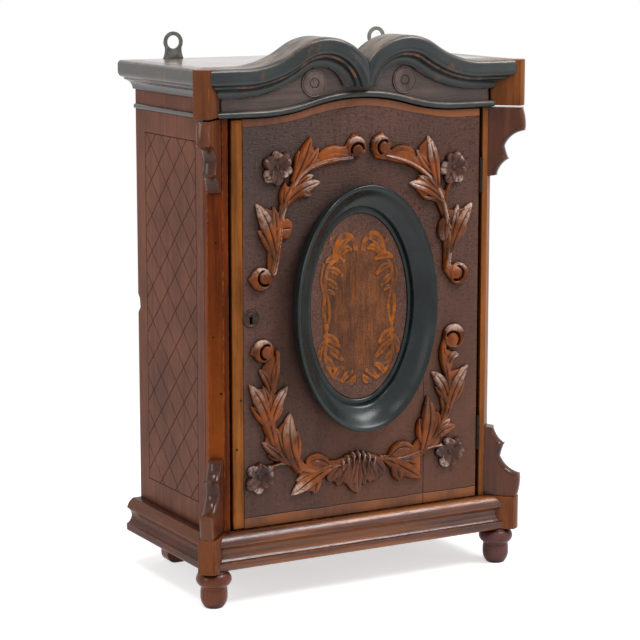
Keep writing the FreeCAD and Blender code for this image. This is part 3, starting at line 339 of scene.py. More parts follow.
# Dust and painted sheen on black faces that look up.
DUST_AND_SHEEN = stain(128, 104, 88)
BORDER_RUN = 0.135  # half the width that the serpentine top border swings over
BORDER_RISE = 0.009
TOP_LINE = 0.0092  # scored lines below the top edge and above the bottom edge of the door
BOTTOM_LINE = 0.0122
LINE_WIDTH = 0.0009
WREATH_MIDDLE = 0.332
WREATH_HALVES = (0.065, 0.110)


def wood(
    name, shade, rubbed, grain="Z", contrast=1.0, gloss=0.34, shine=0.15, wear=0.6, stipple=0.0,
    holes=0.0, reach=0.009, foot=0.0, amber=0.0, quirk_shade=0.0,
):
    """Stained and polished wood with grain, pores, cloudy old polish, rubbed edges and painted shade
    in its corners and joints.

    It can have a stippled face, worm holes, an orange foot, amber patches and painted shade in quirks.
    """
    paint = new_paint(name)
    place = paint.place()
    along = paint.stretched(place, GRAIN[grain])
    flow = paint.noise(along, 170, 5, 0.6, 0.6)
    fibre = paint.noise(along, 900, 3, 0.6)
    pores = paint.noise(along, 1500, 2, 0.5).between(0.6, 0.72)
    cloud = paint.noise(place, 13, 4, 0.6)
    speck = paint.noise(place, 420, 2, 0.5)
    tone = (flow - 0.5) * (0.75 * contrast) + (fibre - 0.5) * 0.3 + (cloud - 0.5) * 0.7 + 0.5
    paint.body = paint.tints(tone, shade, (0.2, 0.42), (0.42, 0.8), (0.58, 1.15), (0.8, 1.7))
    paint.lay(pores * 0.5, tinted(shade, 0.28))
    dull = paint.noise(place, 34, 5, 0.65).between(0.5, 0.75)
    paint.lay(dull * 0.3, tinted(shade, 0.5))
    if amber:
        patch = paint.noise(paint.stretched(along, (1.6, 1.6, 1.6)), 22, 4, 0.6)
        paint.lay(patch.between(0.48, 0.6) * amber, tinted(rubbed, 0.8))
    if foot:
        canted = (0 - paint.facing("X")).between(0.3, 0.6)
        low = 1 - paint.axis(place, "Z").between(0.15, 0.45)
        paint.lay(canted * low * (0.3 + cloud) * foot, ORANGE_FOOT)
    # Darker on faces marked as grooves: the scribed lattice lines, and painted shade in the brackets'
    # hollows.
    paint.lay(paint.mark("groove") * 0.4, tinted(shade, 0.3))
    # Painted shade in corners and joints.
    paint.lay(paint.shade_and_grime(reach) * 0.85, tinted(shade, 0.1))
    # Painted shade in the tight creases of quirks.
    if quirk_shade:
        paint.lay(paint.shade_and_grime(0.009, 0.5, 0.97) * quirk_shade, tinted(shade, 0.08))
    torn = paint.noise(place, 95, 4, 0.7).between(0.42, 0.66)
    paint.lay(paint.mark("edge") * torn * wear, rubbed)
    dents = fibre * 0.35 + speck * 0.35 - pores * 0.8
    if holes:
        cells = {"Vector": place, "Scale": 48.0}
        bored = 1 - paint.node("ShaderNodeTexVoronoi", None, cells, "Distance").between(0.06, 0.1)
        paint.lay(bored * holes, tinted(shade, 0.08))
        dents = dents - bored * 2
    if stipple:
        dents = dents + paint.noise(place, 650, 2, 0.4).between(0.35, 0.6) * stipple
    rough = gloss + (cloud - 0.5) * 0.25 + (fibre - 0.5) * 0.2 + pores * 0.15
    return paint.finish(
        Roughness=rough,
        Normal=paint.bump(dents, 0.35, 0.0004),
        Specular_IOR_Level=shine,
        Coat_Weight=shine * 0.6,
        Coat_Roughness=0.2,
    )


def door_wood(name, ground, band, rubbed):
    """Dark stippled ground with plain borders along the top and the bottom of the door."""
    paint = new_paint(name)
    place = paint.place()
    spot = paint.axis(place, "X")
    front, level = spot.other("Y"), spot.other("Z")
    along = paint.stretched(place, GRAIN["Z"])
    swing = (abs(spot).least(BORDER_RUN) * (math.pi / BORDER_RUN)).cosine()
    swing = swing * BORDER_RISE + (DOOR_TOP + BORDER_RISE)
    wobble = (paint.noise(place, 25, 2) - 0.5) * 0.003
    high = swing - level + wobble
    low = level - DOOR_BOTTOM + wobble
    plain = 1 - high.between(0.0085, 0.0095) * low.between(0.0115, 0.0125)
    top_line = 1 - abs(high - TOP_LINE).between(0.0, LINE_WIDTH)
    bottom_line = 1 - abs(low - BOTTOM_LINE).between(0.0, LINE_WIDTH)
    joint = (1 - abs(spot - DOOR_JOINT).between(0.0002, 0.0008)) * (1 - level.between(0.225, 0.26))
    scored = top_line.most(bottom_line).most(joint)
    flow = paint.noise(along, 150, 5, 0.6, 0.7)
    fibre = paint.noise(along, 900, 3, 0.6)
    cloud = paint.noise(place, 9, 4, 0.6)
    punched = paint.noise(place, 520, 2, 0.4).between(0.3, 0.62)
    hatch = paint.noise(paint.stretched(place, (0.12, 1, 1)), 900, 4, 0.7)
    pits = paint.noise(place, 260, 4, 0.75).between(0.56, 0.64)
    tone = (flow - 0.5) * 0.35 + (cloud - 0.5) * 0.9 + (fibre - 0.5) * 0.2 + 0.5
    dark = paint.tints(tone, ground, (0.25, 0.55), (0.5, 1), (0.75, 1.5))
    dark = paint.mix((1 - punched) * 0.3, dark, tinted(ground, 0.4))
    dark = paint.mix(hatch.between(0.55, 0.72) * 0.45, dark, tinted(ground, 1.9))
    dark = paint.mix(pits * 0.5, dark, tinted(ground, 0.35))
    red = paint.noise(place, 16, 3, 0.6).between(0.5, 0.72)
    dark = paint.mix(red * 0.3, dark, tinted(band, 0.8))
    warm = spot.between(-0.06, -0.03) * (1 - level.between(0.16, 0.3))
    warm = warm.most((spot - level * 0.3).between(-0.1, 0.06) * 0.6)
    dark = paint.mix(warm * (0.25 + 0.45 * cloud), dark, tinted(band, 0.85))
    grey = (1 - spot.between(-0.12, 0.02)) * level.between(0.34, 0.48)
    dark = paint.mix(grey * 0.6, dark, GREY_GROUND)
    light = paint.tints(tone, band, (0.25, 0.45), (0.5, 1), (0.75, 1.5))
    faced = 1 - (front - DOOR_FACE).between(0.0006, 0.0012)
    plain = plain.most(1 - faced)
    low_band = (1 - low.between(0.011, 0.013)) * faced
    light = paint.mix(low_band * cloud.between(0.4, 0.6) * 0.6, light, rubbed)
    high_band = (1 - high.between(0.008, 0.01)) * faced * spot.between(0.03, 0.12)
    light = paint.mix(high_band * 0.6, light, rubbed)
    paint.body = paint.mix(plain, dark, light)
    paint.lay(scored * faced * 0.85, tinted(ground, 0.12))
    # Painted shade in corners and round the carving and the frame.
    paint.lay(paint.shade_and_grime(0.012) * 0.7, tinted(ground, 0.14))
    worn = paint.mark("edge") * paint.noise(place, 95, 4, 0.7).between(0.42, 0.66)
    paint.lay(worn * 0.6, rubbed)
    rugged = (1 - plain) * (hatch * 2.4 - pits * 2.0 + punched * 0.3)
    dents = rugged * (0.3 + level.between(0.2, 0.5)) + fibre * 0.3 - scored * 1.5
    rough = 0.4 + (cloud - 0.5) * 0.3 + (1 - plain) * 0.08
    return paint.finish(
        Roughness=rough,
        Normal=paint.bump(dents, 0.7, 0.0007),
        Specular_IOR_Level=0.22,
    )


def carved_wood(name, shade, tips, gloss, shine, lively=0.0):
    """Polished carving: painted shade in hollows, orange on its sides, painted highlights on ridges and
    tips.
    """
    paint = new_paint(name)
    place = paint.place()
    flow = paint.noise(paint.stretched(place, GRAIN["Z"]), 200, 5, 0.6, 0.8)
    cloud = paint.noise(place, 26, 4, 0.6)
    grain = paint.noise(place, 600, 3, 0.6)
    tone = (flow - 0.5) * 0.7 + (cloud - 0.5) * 1.5 + 0.5
    paint.body = paint.tints(tone, shade, (0.25, 0.45), (0.5, 1), (0.78, 1.7))
    amber = paint.noise(place, 17, 3, 0.6).between(0.46, 0.6)
    paint.lay(amber * lively, tinted(shade, 2.5))
    # Painted shade deep in the hollows and in corners.
    hollow = paint.mark("hollow")
    deep = hollow.between(0.02, 0.7)
    paint.lay(deep * 0.85, tinted(shade, 0.1))
    paint.lay(paint.shade_and_grime(0.008) * 0.7, tinted(shade, 0.1))
    # Painted highlight on the ridges.
    ridge = (0 - hollow).between(0.15, 1.0)
    paint.lay(ridge * 0.3, tinted(shade, 1.8))
    # Painted highlights on tips, scroll tops and one side of stems.
    ragged = paint.noise(place, 160, 4, 0.7).between(0.3, 0.62)
    paint.lay(paint.mark("pale") * (1 - deep) * ragged, tips)
    return paint.finish(
        Roughness=gloss + (cloud - 0.5) * 0.2 + deep * 0.2,
        Normal=paint.bump(grain * 0.4 + flow * 0.4, 0.3, 0.0004),
        Specular_IOR_Level=shine,
        Coat_Weight=shine * 0.5,
        Coat_Roughness=0.16,
    )


def black_wood(name, shade, rubbed, gloss, wear, shine, coat):
    """Ebonised wood with dusty bloom, fine scratches, rubbed brown edges, and dust with a painted sheen
    on faces that look up.
    """
    paint = new_paint(name)
    place = paint.place()
    fine = paint.noise(paint.stretched(place, GRAIN["X"]), 800, 3, 0.6)
    cloud = paint.noise(place, 22, 5, 0.65)
    tone = (cloud - 0.5) * 1.0 + (fine - 0.5) * 0.4 + 0.5
    paint.body = paint.tints(tone, shade, (0.3, 0.5), (0.5, 1), (0.75, 2.2))
    torn = paint.noise(place, 60, 5, 0.7).between(0.46, 0.62)
    paint.lay(paint.mark("edge") * torn * wear, rubbed)
    chips = paint.noise(place, 34, 5, 0.75).between(0.57, 0.66)
    paint.lay(chips * 0.7 * wear, tinted(rubbed, 0.4))
    # Faces that look up get dust and a painted sheen.
    upward = paint.facing("Z").between(0.25, 0.8)
    dust_and_sheen = paint.noise(paint.stretched(place, (0.2, 1, 1)), 70, 5, 0.7).between(0.36, 0.62)
    paint.lay(upward * dust_and_sheen * wear * 0.9, DUST_AND_SHEEN)
    rough = gloss + (cloud - 0.5) * 0.3 + (fine - 0.5) * 0.15
    return paint.finish(
        Roughness=rough,
        Normal=paint.bump(fine * 0.5 + cloud * 0.3, 0.2, 0.0004),
        Specular_IOR_Level=shine,
        Coat_Weight=coat,
        Coat_Roughness=0.16,
    )


def metal(name, shade, rust, gloss):
    """Old metal with dark tarnish and fine scratches."""
    paint = new_paint(name)
    place = paint.place()
    cloud = paint.noise(place, 160, 5, 0.65)
    scratch = paint.noise(paint.stretched(place, (1, 1, 0.15)), 1500, 3, 0.6)
    paint.body = paint.tints(cloud, shade, (0.3, 0.45), (0.55, 1), (0.8, 1.3))
    spots = paint.noise(place, 320, 4, 0.7).between(0.6, 0.72)
    paint.lay(spots * 0.6, rust)
    paint.lay(paint.shade_and_grime(0.003) * 0.7, tinted(rust, 0.2))
    return paint.finish(
        Roughness=gloss + (cloud - 0.5) * 0.3 + spots * 0.25,
        Metallic=0.9 - spots * 0.6,
        Normal=paint.bump(scratch * 0.4 + cloud * 0.4, 0.25, 0.0003),
    )


def medallion_wood(name, ground, wreath):
    """Worn brown ground, grey towards its rim, with an orange wreath and painted shade in its hollows."""
    paint = new_paint(name)
    place = paint.place()
    cloud = paint.noise(place, 28, 5, 0.65)
    flow = paint.noise(paint.stretched(place, GRAIN["Z"]), 220, 4, 0.6, 0.6)
    punched = paint.noise(place, 640, 2, 0.45)
    tone = (cloud - 0.5) * 1.3 + (flow - 0.5) * 0.5 + 0.5
    paint.body = paint.tints(tone, ground, (0.25, 0.45), (0.5, 1), (0.75, 1.7))
    spot = paint.axis(place, "X")
    wide = abs(spot) / WREATH_HALVES[0]
    high = abs(spot.other("Z") - WREATH_MIDDLE) / WREATH_HALVES[1]
    outer = (wide * wide + high * high).between(0.35, 0.75) * (0.55 + 0.6 * cloud)
    paint.lay(outer * 0.65, GREY_RIM)
    paint.lay((1 - punched.between(0.35, 0.6)) * 0.6, tinted(ground, 0.4))
    streak = paint.noise(paint.stretched(place, (1, 1, 0.08)), 420, 3, 0.6).between(0.52, 0.66)
    paint.lay(streak * (1 - outer) * 0.6, tinted(ground, 0.3))
    bright = paint.noise(paint.stretched(place, (1, 1, 0.12)), 190, 4, 0.7).between(0.5, 0.64)
    paint.lay(bright * (1 - outer) * 0.55, tinted(wreath, 0.8))
    paint.lay(punched.between(0.56, 0.68) * outer * 0.5, GREY_SPECKS)
    raised = paint.tints(tone, wreath, (0.25, 0.45), (0.5, 1), (0.78, 1.5))
    rubbed = (paint.noise(place, 210, 5, 0.75) - 0.5) * 3.4
    pale = paint.mark("pale")
    paint.lay((pale * 0.95 + rubbed).between(0.3, 0.9) * pale, raised)
    # Painted shade in the hollows of the wreath and in corners by the frame.
    hollow = paint.mark("hollow")
    paint.lay(hollow.between(0.02, 0.3) * 0.5, tinted(ground, 0.25))
    paint.lay(paint.shade_and_grime(0.02) * 0.6, tinted(ground, 0.15))
    return paint.finish(
        Roughness=0.4 + (cloud - 0.5) * 0.3,
        Normal=paint.bump(punched * 0.7 + flow * 0.3, 0.35, 0.0005),
        Specular_IOR_Level=0.2,
    )


def piece_of(name, mesh):
    piece = bpy.data.objects.new(name, mesh)
    bpy.context.scene.collection.objects.link(piece)
    return piece


def formed(name, form, finish, crease=None):
    """Piece made of a form, its edges sharp where they turn by more than the crease, in degrees."""
    mesh = bpy.data.meshes.new(name)
    form.to_mesh(mesh)
    form.free()
    mesh.materials.append(bpy.data.materials[finish])
    if crease:
        mesh.set_sharp_from_angle(angle=math.radians(crease))
    return piece_of(name, mesh)


def evened(piece):
    """Piece whose flat faces are shaded flat beside its rounded edges."""
    piece.modifiers.new("even shading", "WEIGHTED_NORMAL").keep_sharp = True
    return piece


def stand_in(piece, *nodes):
    """Lets a piece stand for CAD nodes, which it hides, on their body."""
    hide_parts(*nodes)
    return beside(piece, nodes[0])


def beside(piece, node):
    """Lets a piece move with a CAD node, on its body."""
    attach(piece, frame["nodes"][node]["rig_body"])
    return piece


def paint_node(node, finish):
    for slot in frame["nodes"][node].material_slots:
        slot.material = bpy.data.materials[finish]


def face_loops(node, way):
    """Outlines of the flat end faces of a node that look along a way, in order."""
    mesh = frame["nodes"][node].data
    reach = max(corner.co.dot(way) for corner in mesh.vertices)
    after = {}
    for face in mesh.polygons:
        if face.normal.dot(way) < 0.99 or reach - face.center.dot(way) > NEAR:
            continue
        corners = [tuple(round(part, 6) for part in mesh.vertices[v].co) for v in face.vertices]
        for start, stop in zip(corners, corners[1:] + corners[:1]):
            if start in after.get(stop, ()):
                after[stop].remove(start)
            else:
                after.setdefault(start, []).append(stop)
    loops = []
    after = {start: stops for start, stops in after.items() if stops}
    while after:
        loop = [next(iter(after))]
        while True:
            stop = after[loop[-1]].pop()
            if not after[loop[-1]]:
                del after[loop[-1]]
            if stop == loop[0]:
                break
            loop.append(stop)
        loops.append([Vector(spot) for spot in loop])
    return loops


def rounded(form, edges, radius, segments):
    bevel = bmesh.ops.bevel(
        form,
        geom=edges,
        offset=radius,
        offset_type="OFFSET",
        segments=segments,
        profile=0.5,
        affect="EDGES",
        clamp_overlap=False,
    )
    return bevel["faces"]


TALL = 15 * MM  # upright edges longer than this may be rounder


def softened(node, finish, rounding, upright=0.0, seam=None, crease=50):
    """Copy of a node with rounded edges, whose narrow edge faces are marked for wear.

    Upright edges may be rounder, and edges that lie in the seam with a like piece stay sharp.
    """
    form = bmesh.new()
    form.from_mesh(frame["nodes"][node].data)
    mark = form.faces.layers.float.new("edge")
    bmesh.ops.remove_doubles(form, verts=form.verts, dist=WELD)
    bmesh.ops.dissolve_limit(form, angle_limit=FLAT, verts=form.verts, edges=form.edges)

    def sharp():
        return [
            edge
            for edge in form.edges
            if len(edge.link_faces) == 2
            and edge.calc_face_angle() > SHARP
            and (seam is None or any(abs(end.co.x - seam) > NEAR for end in edge.verts))
        ]

    if upright:
        tall = [
            edge
            for edge in sharp()
            if abs(edge.verts[0].co.z - edge.verts[1].co.z) > 0.95 * edge.calc_length()
            and edge.calc_length() > TALL
        ]
        rounded(form, tall, upright, 5)
    for face in rounded(form, sharp(), rounding, 2):
        face[mark] = 1.0
    for face in form.faces:
        face.smooth = True
    return stand_in(evened(formed(node + "_softened", form, finish, crease)), node)


def inner_room(spots, ways):
    """Length that each spot of an outline can move its way without crossing the others."""
    apart = spots[None] - spots[:, None]
    ahead = np.maximum((apart * ways[:, None]).sum(2), 1e-9)
    room = (apart**2).sum(2) / (2 * ahead)
    np.fill_diagonal(room, 1)
    return 0.6 * room.min(1)


HOLLOW = 0.01 * MM  # outlines that bend inwards by more than this have a hollow
# How strongly the hollows of a bracket are marked for painted shade.
HOLLOW_SHADE = 0.8
TOUCH = 0.5 * MM  # places this near to the case keep their full thickness
# Rows across half the edge of a bracket: share of the half, share of the nose cut off, wear.
NOSE_ROWS = ((0, 1, 0.3), (0.06, 0.68, 0.7), (0.18, 0.4, 0.4), (0.38, 0.16, 0.1), (0.65, 0.03, 0))


def nosed(node, finish, nose):
    """Bracket whose scalloped edge is rounded off to both sides, its hollows marked for painted shade."""
    low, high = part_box(node)
    hand = 1 if low.x > 0 else -1
    across = Vector((1, hand, 0)).normalized()
    outward = Vector((hand, -1, 0)).normalized()
    loop = max(face_loops(node, across), key=len)
    corners = [corner.co.dot(across) for corner in frame["nodes"][node].data.vertices]
    thick = max(corners) - min(corners)
    inner = min(spot.dot(outward) for spot in loop)
    held = low.z if "lower" in node else high.z
    form = bmesh.new()
    mark = form.faces.layers.float.new("edge")
    # The groove layer marks the bracket's hollows, which the finish darkens as painted shade.
    dark = form.faces.layers.float.new("groove")
    rows = [(at * thick / 2, inset * nose, worn) for at, inset, worn in NOSE_ROWS]
    rows += [(thick / 2, 0, 0)] + [(thick - at, inset, worn) for at, inset, worn in rows[::-1]]
    inward = []
    hollow = []
    for k in range(len(loop)):
        before, after = loop[k - 1], loop[(k + 1) % len(loop)]
        inward.append(across.cross((after - before).normalized()))
        hollow.append((before + after - 2 * loop[k]).dot(inward[k]) < -HOLLOW)
    room = inner_room(
        np.array([(spot.dot(outward), spot.z) for spot in loop]),
        np.array([(way.dot(outward), way.z) for way in inward]),
    )
    rings = []
    for at, inset, _ in rows:
        ring = []
        for spot, way, limit in zip(loop, inward, room):
            free = spot.dot(outward) > inner + TOUCH and abs(spot.z - held) > TOUCH
            ring.append(form.verts.new(spot - across * at + way * (min(inset, limit) if free else 0)))
        rings.append(ring)
    for n, (ring, after) in enumerate(zip(rings, rings[1:])):
        for k in range(len(loop)):
            m = (k + 1) % len(loop)
            side = form.faces.new((ring[k], after[k], after[m], ring[m]))
            side[mark] = min(rows[n][2], rows[n + 1][2])
            side[dark] = HOLLOW_SHADE * (hollow[k] + hollow[m])
            side.smooth = True
    form.faces.new(rings[0])
    form.faces.new(rings[-1][::-1])
    bmesh.ops.recalc_face_normals(form, faces=form.faces)
    return stand_in(evened(formed(node + "_nosed", form, finish, 55)), node)


LINE_STEPS = 8
BEND_STEPS = 16


def smooth_line(points):
    """Smooth line through points."""
    points = np.array(points, float)
    ends = np.vstack([2 * points[0] - points[1], points, 2 * points[-1] - points[-2]])
    line = []
    for before, start, stop, after in zip(ends, ends[1:], ends[2:], ends[3:]):
        for t in np.arange(LINE_STEPS) / LINE_STEPS:
            square = (2 * before - 5 * start + 4 * stop - after) * t**2
            cube = (3 * start - before - 3 * stop + after) * t**3
            line.append(0.5 * (2 * start + (stop - before) * t + square + cube))
    line.append(points[-1])
    return np.array(line)


def bent_line(base, bend, tip):
    """Line from base to tip that is drawn towards bend."""
    t = np.linspace(0, 1, BEND_STEPS + 1)[:, None]
    base, bend, tip = (np.array(end, float) for end in (base, bend, tip))
    return (1 - t) ** 2 * base + 2 * t * (1 - t) * bend + t**2 * tip


def ridge(gap, at, width):
    """1 where the gap is at a length, falling to 0 over a width to both sides."""
    return np.exp(-(((gap - at) / width) ** 2))


STEEP = 3.2  # slope of the sides of the carving
NOTHING = -30.0  # height where nothing is carved
EVERYWHERE = np.s_[:, :]
BLOCK_RISE = 5.0  # height of the block that a spray is carved out of
SCROLL_RISE = 7.6
SCROLL_HIGHLIGHT = 0.9
SLIT_FLOOR = 1.2


class Relief:
    """Carved heights in millimetres over a net of points on the door, negative where it is bare."""

    def __init__(self, left, right, bottom, top, step):
        self.step = step
        across, up = np.arange(left, right + step, step), np.arange(bottom, top + step, step)
        self.x, self.z = np.meshgrid(across, up)
        self.rise = np.full(self.x.shape, NOTHING)
        self.pale = np.zeros(self.x.shape)

    def follow(self, line, reach):
        """Part of the net near a line, its share along the line and its distance to the left."""
        low = line.min(0) - reach - 3
        high = line.max(0) + reach + 3
        columns = np.nonzero((self.x[0] >= low[0]) & (self.x[0] <= high[0]))[0]
        rows = np.nonzero((self.z[:, 0] >= low[1]) & (self.z[:, 0] <= high[1]))[0]
        part = np.s_[rows[0] : rows[-1] + 1, columns[0] : columns[-1] + 1]
        x, z = self.x[part], self.z[part]
        spans = np.hypot(*np.diff(line, axis=0).T)
        walked = np.concatenate([[0], np.cumsum(spans)])
        best = np.full(x.shape, 1e9)
        share = np.zeros(x.shape)
        left = np.zeros(x.shape)
        for start, stop, span, before in zip(line, line[1:], spans, walked):
            way = (stop - start) / span
            run = np.clip((x - start[0]) * way[0] + (z - start[1]) * way[1], 0, span)
            off_x = x - start[0] - run * way[0]
            off_z = z - start[1] - run * way[1]
            gap = np.hypot(off_x, off_z)
            near = gap < best
            best = np.where(near, gap, best)
            share = np.where(near, (before + run) / walked[-1], share)
            left = np.where(near, np.sign(way[0] * off_z - way[1] * off_x) * gap, left)
        return part, share, left

    def add(self, part, rise, pale=0.0):
        higher = rise > self.rise[part]
        self.pale[part] = np.where(higher, pale, self.pale[part])
        self.rise[part] = np.maximum(self.rise[part], rise)

    def mass(self, loops):
        """Solid block inside outlines, slightly domed, with steep sides."""
        gap = np.full(self.x.shape, 1e9)
        inside = np.zeros(self.x.shape, bool)
        for loop in loops:
            for start, stop in zip(loop, loop[1:] + loop[:1]):
                run_x, run_z = stop[0] - start[0], stop[1] - start[1]
                off_x, off_z = self.x - start[0], self.z - start[1]
                share = np.clip((off_x * run_x + off_z * run_z) / (run_x**2 + run_z**2), 0, 1)
                gap = np.minimum(gap, np.hypot(off_x - share * run_x, off_z - share * run_z))
                if run_z:
                    crossed = self.x < start[0] + (self.z - start[1]) * run_x / run_z
                    inside ^= ((self.z > start[1]) != (self.z > stop[1])) & crossed
        gap = np.where(inside, gap, -gap)
        crown = BLOCK_RISE * (0.75 + 0.25 * np.clip(gap / 6, 0, 1))
        self.add(EVERYWHERE, np.minimum(crown, gap * STEEP))

    def lobe(self, base, bend, tip, half, rise, pale=0.0, blunt=False, vein=1.5, dip=0.4):
        """Leaf lobe, widest at its middle, grooved along its vein, leaning, dipping to its tip."""
        part, share, left = self.follow(bent_line(base, bend, tip), half)
        late = np.clip((share - 0.5) / 0.5, 0, 1)
        ending = (1 - late**2) ** (0.4 if blunt else 0.75)
        width = half * np.where(share < 0.5, 0.5 + 0.5 * np.sin(np.pi * share), ending)
        inside = width - np.abs(left)
        lean = np.clip(left / np.maximum(width, 0.1), -1, 1)
        across = np.abs(lean)
        crown = rise * (0.6 + 0.4 * np.sqrt(1 - across**2) + 0.2 * lean) * (1 - dip * late**2)
        crown = crown - vein * ridge(left, 0, 1.0) * (1 - late**3)
        crown = crown + 0.3 * np.cos(24 * share - 4.0 * across) * across * (1 - share)
        # Painted highlight towards the tip.
        painted_highlight = pale * np.clip((share - 0.5) / 0.35, 0, 1)
        self.add(part, np.minimum(crown, inside * STEEP), painted_highlight)

    def petal(self, base, bend, tip, half, rise, pale):
        """Blunt petal, cupped towards the middle of its flower, with a raised rim."""
        part, share, left = self.follow(bent_line(base, bend, tip), half)
        late = np.clip((share - 0.6) / 0.4, 0, 1)
        starting = 0.55 + 0.45 * np.sin(np.pi * share / 1.2)
        width = half * np.where(share < 0.6, starting, (1 - late**2) ** 0.4)
        inside = width - np.abs(left)
        across = np.clip(np.abs(left) / np.maximum(width, 0.1), 0, 1)
        cup = rise * (0.3 + 0.7 * np.clip(share / 0.7, 0, 1)) * (0.7 + 0.3 * across**2)
        crown = cup * (1 - 0.35 * late**2) - 1.6 * ridge(left, 0, 1.1) * share
        # Painted highlight towards the tip of the petal.
        painted_highlight = pale * np.clip((share - 0.5) / 0.3, 0, 1)
        self.add(part, np.minimum(crown, inside * STEEP), painted_highlight)

    def stem(self, points, start, stop, rise, groove=0.0, pale=0.0):
        """Round stem along points, its half breadth going from start to stop, with a groove."""
        part, share, left = self.follow(smooth_line(points), max(start, stop))
        width = start + (stop - start) * share
        inside = width - np.abs(left)
        across = np.clip(left / width, -1, 1)
        crown = rise * (0.5 + 0.5 * np.sqrt(1 - across**2))
        crown = crown - groove * ridge(left, 0.25 * width, 0.8)
        # Painted highlight along one side of the stem.
        self.add(part, np.minimum(crown, inside * STEEP), pale * np.clip(0.4 + across, 0, 1))

    def ball(self, x, z, radius, rise):
        gap = np.hypot(self.x - x, self.z - z)
        crown = rise * (0.55 + 0.45 * np.sqrt(np.clip(1 - (gap / radius) ** 2, 0, 1)))
        self.add(EVERYWHERE, np.minimum(crown, (radius - gap) * STEEP))

    def scroll(self, x, z, radius, lean):
        """Volute: a domed disc, a ball that leans to its stem, a deep slit round its far side."""
        gap = np.hypot(self.x - x, self.z - z)
        disc = SCROLL_RISE * (0.62 + 0.38 * np.sqrt(np.clip(1 - (gap / radius) ** 2, 0, 1)))
        # Painted highlight on the upper part of the disc.
        upper = np.clip((self.z - z) / radius * 1.8 - 0.5, 0, 1)
        self.add(EVERYWHERE, np.minimum(disc, (radius - gap) * STEEP), SCROLL_HIGHLIGHT * upper)
        way = np.array([math.cos(math.radians(lean)), math.sin(math.radians(lean))])
        ball_x, ball_z = x + 0.3 * radius * way[0], z + 0.3 * radius * way[1]
        away = np.hypot(self.x - ball_x, self.z - ball_z)
        side = ((self.x - ball_x) * way[0] + (self.z - ball_z) * way[1]) / np.maximum(away, 0.1)
        slit = ridge(away, radius * 0.6, 1.3) * np.clip((0.4 - side) / 0.5, 0, 1)
        carved = (gap < radius * 0.95) & (self.rise > SLIT_FLOOR)
        self.rise = np.where(carved, np.maximum(self.rise - 6 * slit, SLIT_FLOOR), self.rise)
        self.ball(ball_x, ball_z, radius * 0.5, SCROLL_RISE + 0.9)

    def piece(self, name, finish, shift_x=0.0, shift_z=0.0):
        """Closed mesh of the carving, its flat back on the face of the door."""
        solid = self.rise > 0
        filled = solid[:-1, :-1] | solid[1:, :-1] | solid[:-1, 1:] | solid[1:, 1:]
        used = np.zeros(solid.shape, bool)
        for rows in (np.s_[:-1], np.s_[1:]):
            for columns in (np.s_[:-1], np.s_[1:]):
                used[rows, columns] |= filled
        slope_z, slope_x = np.gradient(self.rise, self.step)
        steep = np.maximum(slope_x**2 + slope_z**2, 0.05)
        rim = used & ~solid
        pull = np.where(rim, np.clip(-self.rise, 0, 4) / steep, 0)
        limit = 0.8 * self.step
        x = self.x + np.clip(pull * slope_x, -limit, limit)
        z = self.z + np.clip(pull * slope_z, -limit, limit)
        rise = np.where(solid, self.rise, 0)
        soft = rise
        for _ in range(6):
            padded = np.pad(soft, 1, mode="edge")
            beside_z = padded[:-2, 1:-1] + padded[2:, 1:-1]
            soft = (beside_z + padded[1:-1, :-2] + padded[1:-1, 2:]) / 4
        number = np.full(solid.shape, -1)
        number[used] = np.arange(used.sum())
        inner = used & solid
        under = number.copy()
        under[inner] = used.sum() + np.arange(inner.sum())
        front = np.column_stack([x[used], -rise[used], z[used]])
        rear = np.column_stack([x[inner], np.zeros(inner.sum()), z[inner]])
        points = np.vstack([front, rear]) * MM + np.array([shift_x * MM, DOOR_FACE, shift_z * MM])
        corners = (np.s_[:-1, :-1], np.s_[:-1, 1:], np.s_[1:, 1:], np.s_[1:, :-1])
        outward = np.column_stack([number[corner][filled] for corner in corners])
        inward = np.column_stack([under[corner][filled] for corner in corners[::-1]])
        mesh = bpy.data.meshes.new(name)
        mesh.from_pydata(points.tolist(), [], np.vstack([outward, inward]).tolist())
        # hollow is how far each point lies below its smoothed neighbours; the finishes paint shade in
        # hollows and a highlight on ridges from it. pale carries painted highlights on the carving and
        # the wreath's extent on the medallion.
        for label, values in (("hollow", soft - rise), ("pale", self.pale)):
            layer = mesh.attributes.new(label, "FLOAT", "POINT")
            layer.data.foreach_set("value", np.concatenate([values[used], values[inner]]))
        mesh.shade_smooth()
        mesh.materials.append(bpy.data.materials[finish])
        return piece_of(name, mesh)


def relief_round(x, z, radius, margin, step):
    """Relief over a round place of the door and a margin about it."""
    return Relief(
        x - radius - margin, x + radius + margin, z - radius - margin, z + radius + margin, step
    )


def leaf_rows(relief, rows, widen=1.2, vein=1.9):
    """Carves lobes given as base, bend and tip, half breadth, rise, painted highlight, and True if blunt.
    """
    for ends, half, rise, pale, *blunt in rows:
        base, bend, tip = ends[0:2], ends[2:4], ends[4:6]
        relief.lobe(base, bend, tip, half * widen, rise, pale, blunt=any(blunt), vein=vein)


# The tables below are drawn in millimetres and then shifted to their places on the door.
SPRAY_SHIFT = -4
FLOWER_SHIFT = -4.5
MARGIN = 9


def spray_relief(node, step, lift):
    """Relief whose solid block has the outline of a carved CAD node."""
    loops = [
        [(spot.x / MM - SPRAY_SHIFT, spot.z / MM - lift) for spot in loop]
        for loop in face_loops(node, FORWARD)
    ]
    spots = np.array([spot for loop in loops for spot in loop])
    (left, bottom), (right, top) = spots.min(0) - MARGIN, spots.max(0) + MARGIN
    relief = Relief(left, right, bottom, top, step)
    relief.mass(loops)
    return relief


